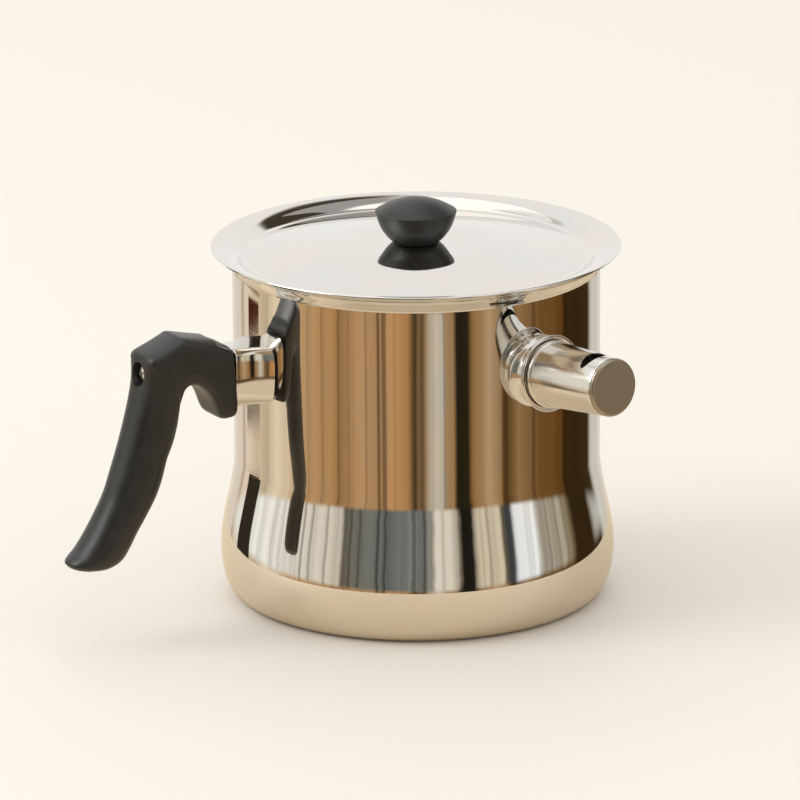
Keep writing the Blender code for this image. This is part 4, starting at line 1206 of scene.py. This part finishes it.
def bakelite_finish(name, matt, gloss, bloom):
    """Black moulded resin with a fine grain, and a roughness that changes in soft blots."""
    made, tree, shader = new_finish(name)
    spot = node(tree, 'ShaderNodeTexCoord').outputs["Object"]
    grain = noise(tree, spot, GRAIN_SCALE, 2.0, 0.6)
    mottle = noise(tree, spot, MOTTLE_SCALE, 3.0, 0.6)
    shade = spread(tree, mottle, 0.0, 1.0)
    feed(tree, shader, {
        "Base Color": blend_colours(tree, shade, BLACK, GREY_BLOOM, "black with a grey bloom"),
        "Roughness": spread(tree, mottle, gloss, matt),
        "IOR": RESIN_IOR,
        "Sheen Weight": bloom,
        "Sheen Roughness": 0.35,
        "Normal": relief(tree, grain, GRAIN_DEPTH),
    })
    return made


grip_black = bakelite_finish("black_bakelite_grip", 0.43, 0.36, 0.10)
knob_black = bakelite_finish("black_bakelite_knob", 0.46, 0.38, 0.02)
hand_over(grip, grip_black, "black_bakelite", "pot", "handle_grip")

# %% [markdown]
# The screw that holds the grip has a pan head with a cross in it. The head is spun as the other
# round pieces are, and a cross of two thin blocks is cut out of it.

# %% Handle screw and washer
WASHER_RADIUS = 4.4
WASHER_THICKNESS = 0.8
SCREW_RADIUS = 2.0
SCREW_TIP = 100.0
HEAD_RADIUS = 3.6
HEAD_HEIGHT = 2.4
HEAD_SIDE = 0.9
CROSS = (4.3, 0.85, 2.8)
CROSS_TURN = radians(20.0)

screw_line = (Matrix.Rotation(pi, 4, 'Z') @ Matrix.Translation((0.0, 0.0, SCREW_HEIGHT * MM))
              @ Matrix.Rotation(pi / 2.0, 4, 'Y'))
seat = RECESS_FLOOR + GAP + WASHER_THICKNESS + GAP
head_line = [(0.0, SCREW_TIP), (SCREW_RADIUS - 0.5, SCREW_TIP), (SCREW_RADIUS, SCREW_TIP + 0.5),
             (SCREW_RADIUS, seat), (HEAD_RADIUS - 0.15, seat), (HEAD_RADIUS, seat + 0.15),
             (HEAD_RADIUS, seat + HEAD_SIDE)]
head_line += arc((0.0, seat + HEAD_SIDE), HEAD_RADIUS, 0.0, 90.0, 10, HEAD_HEIGHT - HEAD_SIDE)[1:-1]
head_line += [(0.0, seat + HEAD_HEIGHT)]
screw = spin_line("handle_screw_pan_head", head_line, 64)
for turn in (0.0, pi / 2.0):
    cross_line = (Matrix.Rotation(turn + CROSS_TURN, 4, 'Z')
                  @ Matrix.Translation((0.0, 0.0, (seat + HEAD_HEIGHT) * MM)))
    cut_away(screw, block_cutter(cross_line, CROSS))
carry(screw, screw_line)
screw_steel = steel_finish("bright_screw_steel", dull=(0.16, 0.26), turn=(0.0, pi / 2.0, 0.0), wander=0.00001)
hand_over(screw, screw_steel, "polished_steel", "pot", "handle_screw", angle=35.0)

washer_low = RECESS_FLOOR + GAP
washer_high = washer_low + WASHER_THICKNESS
washer_line = [(SCREW_RADIUS + GAP, washer_low), (WASHER_RADIUS - 0.2, washer_low),
               (WASHER_RADIUS, washer_low + 0.2), (WASHER_RADIUS, washer_high - 0.2),
               (WASHER_RADIUS - 0.2, washer_high), (SCREW_RADIUS + GAP, washer_high)]
washer = spin_line("handle_screw_washer", washer_line, 64, closed=True)
carry(washer, screw_line)
hand_over(washer, screw_steel, "polished_steel", "pot", "handle_washer", angle=35.0)

# %% [markdown]
# ## Lid
#
# The lid is pressed from one sheet: a shallow dome, a crease, and a dished band that rises to the
# edge, where the sheet is folded down. The knob's mirror image in the photograph is shorter than
# the knob, and that tells how the dome is shaped: flat in the middle, and then a shallow cone. The
# height formula does just that.

# %% Lid plate
LID_SHEET = 0.7
LID_RADIUS = 89.2
LID_CREASE_RADIUS = 75.5
LID_CREASE_HEIGHT = 151.9
LID_CREASE_ROUND = 1.2
LID_BAND_RISE = 4.8
LID_DOME_RISE = 5.5
LID_FLAT_RADIUS = 26.0
LID_BEND_RADIUS = 42.0
LID_HOLE_RADIUS = 2.65
LID_FOLD = 0.75
LID_TURN = 224
BAND_START = 0.03
BAND_RUN = 0.94
BAND_SHARES = ((0.0, 0.0), (0.11, 0.22), (0.25, 0.45), (0.44, 0.67), (0.68, 0.86), (0.86, 0.96), (1.0, 1.0))


def dome_height(radius):
    """A nearly flat middle that bends into a shallow cone."""
    cone = LID_DOME_RISE / (LID_CREASE_RADIUS - (LID_FLAT_RADIUS + LID_BEND_RADIUS) / 2.0)
    if radius <= LID_FLAT_RADIUS:
        return LID_DOME_RISE
    if radius <= LID_BEND_RADIUS:
        bend = 2.0 * (LID_BEND_RADIUS - LID_FLAT_RADIUS)
        return LID_DOME_RISE - cone * (radius - LID_FLAT_RADIUS) ** 2 / bend
    return cone * (LID_CREASE_RADIUS - radius)


def cap_height(radius, edge_radius, rise):
    """Height of a ball's cap above its edge."""
    ball = (edge_radius ** 2 + rise ** 2) / (2.0 * rise)
    return rise - ball + sqrt(ball ** 2 - radius ** 2)


def upwards(point):
    """Away from the floor."""
    return Vector((0.0, 0.0, 1.0))


band = LID_RADIUS - LID_CREASE_RADIUS
lid_top = []
for i in range(61):
    radius = LID_HOLE_RADIUS + (LID_CREASE_RADIUS - LID_CREASE_ROUND - LID_HOLE_RADIUS) * i / 60
    lid_top.append((radius, LID_CREASE_HEIGHT + dome_height(radius)))
for i in range(1, 30):
    share = BAND_START + BAND_RUN * i / 30
    rise = LID_BAND_RISE * smooth_through(BAND_SHARES, share)
    lid_top.append((LID_CREASE_RADIUS + band * share, LID_CREASE_HEIGHT + rise))
edge_height = lid_top[-1][1]
lid_top += arc((LID_RADIUS - LID_FOLD, edge_height - LID_FOLD + 0.02), LID_FOLD, 90.0, 8.0, 8)
lid_plate = pressed("lid_plate_pressing", lid_top, LID_SHEET, 0.25, LID_TURN, upwards)
hand_over(lid_plate, lid_steel, "polished_steel", "lid", "lid_plate")
print("the lid is", 2.0 * LID_RADIUS, "mm across")

# %% [markdown]
# The knob is turned from the same black resin: a bowl that swells out from its foot, a crisp edge
# and a low dome on top. The edge gets a small rounding of its own, because no moulded edge is
# perfectly sharp, and that rounding is what catches the light.

# %% Lid knob
KNOB_RADIUS = 17.7
KNOB_EDGE = 13.4
KNOB_EDGE_ROUND = 0.45
KNOB_HEIGHT = 19.2
KNOB_LOWER = 0.03
KNOB_FOOT = ((0.0, 0.2), (9.6, 0.2), (9.9, 0.1))
BOWL = ((0.0, 10.0), (1.2, 11.4), (2.7, 12.8), (5.8, 15.0), (9.6, 16.65), (13.4, 17.7))
BOWL_TOP = 12.8

foot = LID_CREASE_HEIGHT + LID_DOME_RISE + GAP
knob_line = [(radius, foot - down) for radius, down in KNOB_FOOT]
for i in range(29):
    up = BOWL_TOP * i / 28
    knob_line.append((smooth_through(BOWL, up), foot + up))
knob_line += arc((KNOB_RADIUS - KNOB_EDGE_ROUND, foot + KNOB_EDGE - 0.05), KNOB_EDGE_ROUND, 0.0, 55.0, 5)
for i in range(1, 22):
    radius = (KNOB_RADIUS - 0.7) * (1.0 - i / 22)
    rise = cap_height(radius, KNOB_RADIUS, KNOB_HEIGHT - KNOB_EDGE)
    knob_line.append((radius, foot + KNOB_EDGE + rise - KNOB_LOWER))
knob_line.append((0.0, foot + KNOB_HEIGHT - KNOB_LOWER))
knob = spin_line("lid_knob_turning", knob_line, 128)
hand_over(knob, knob_black, "black_bakelite", "lid", "lid_knob", angle=50.0)

# %% [markdown]
# ## Pieces that stay as the CAD has them
#
# The bracket, the heat spreader and the fixings of the knob are plain turned or folded parts, and
# they hide inside. Their CAD shapes are right, so they only get finishes of their own.

# %% Hidden pieces
plain_satin = steel_finish("satin_bracket_steel", colour=(0.60, 0.58, 0.55, 1.0), dull=(0.28, 0.40))
aluminium = steel_finish("cast_aluminium", colour=(0.76, 0.76, 0.77, 1.0), dull=(0.36, 0.50), flat=True)
brass = steel_finish("turned_brass", colour=(0.72, 0.52, 0.22, 1.0), dull=(0.22, 0.34), rings=0.000002)
fastener_steel = steel_finish("plain_fastener_steel", dull=(0.18, 0.28), flat=True)
HIDDEN = (("handle_bracket", plain_satin), ("base_spreader", aluminium), ("knob_insert", brass),
          ("knob_screw", fastener_steel), ("knob_washer", fastener_steel))
for name, finish in HIDDEN:
    cad_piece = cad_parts[name]
    for slot in cad_piece.material_slots:
        slot.material = finish
    print(name, "is finished in", finish.name)
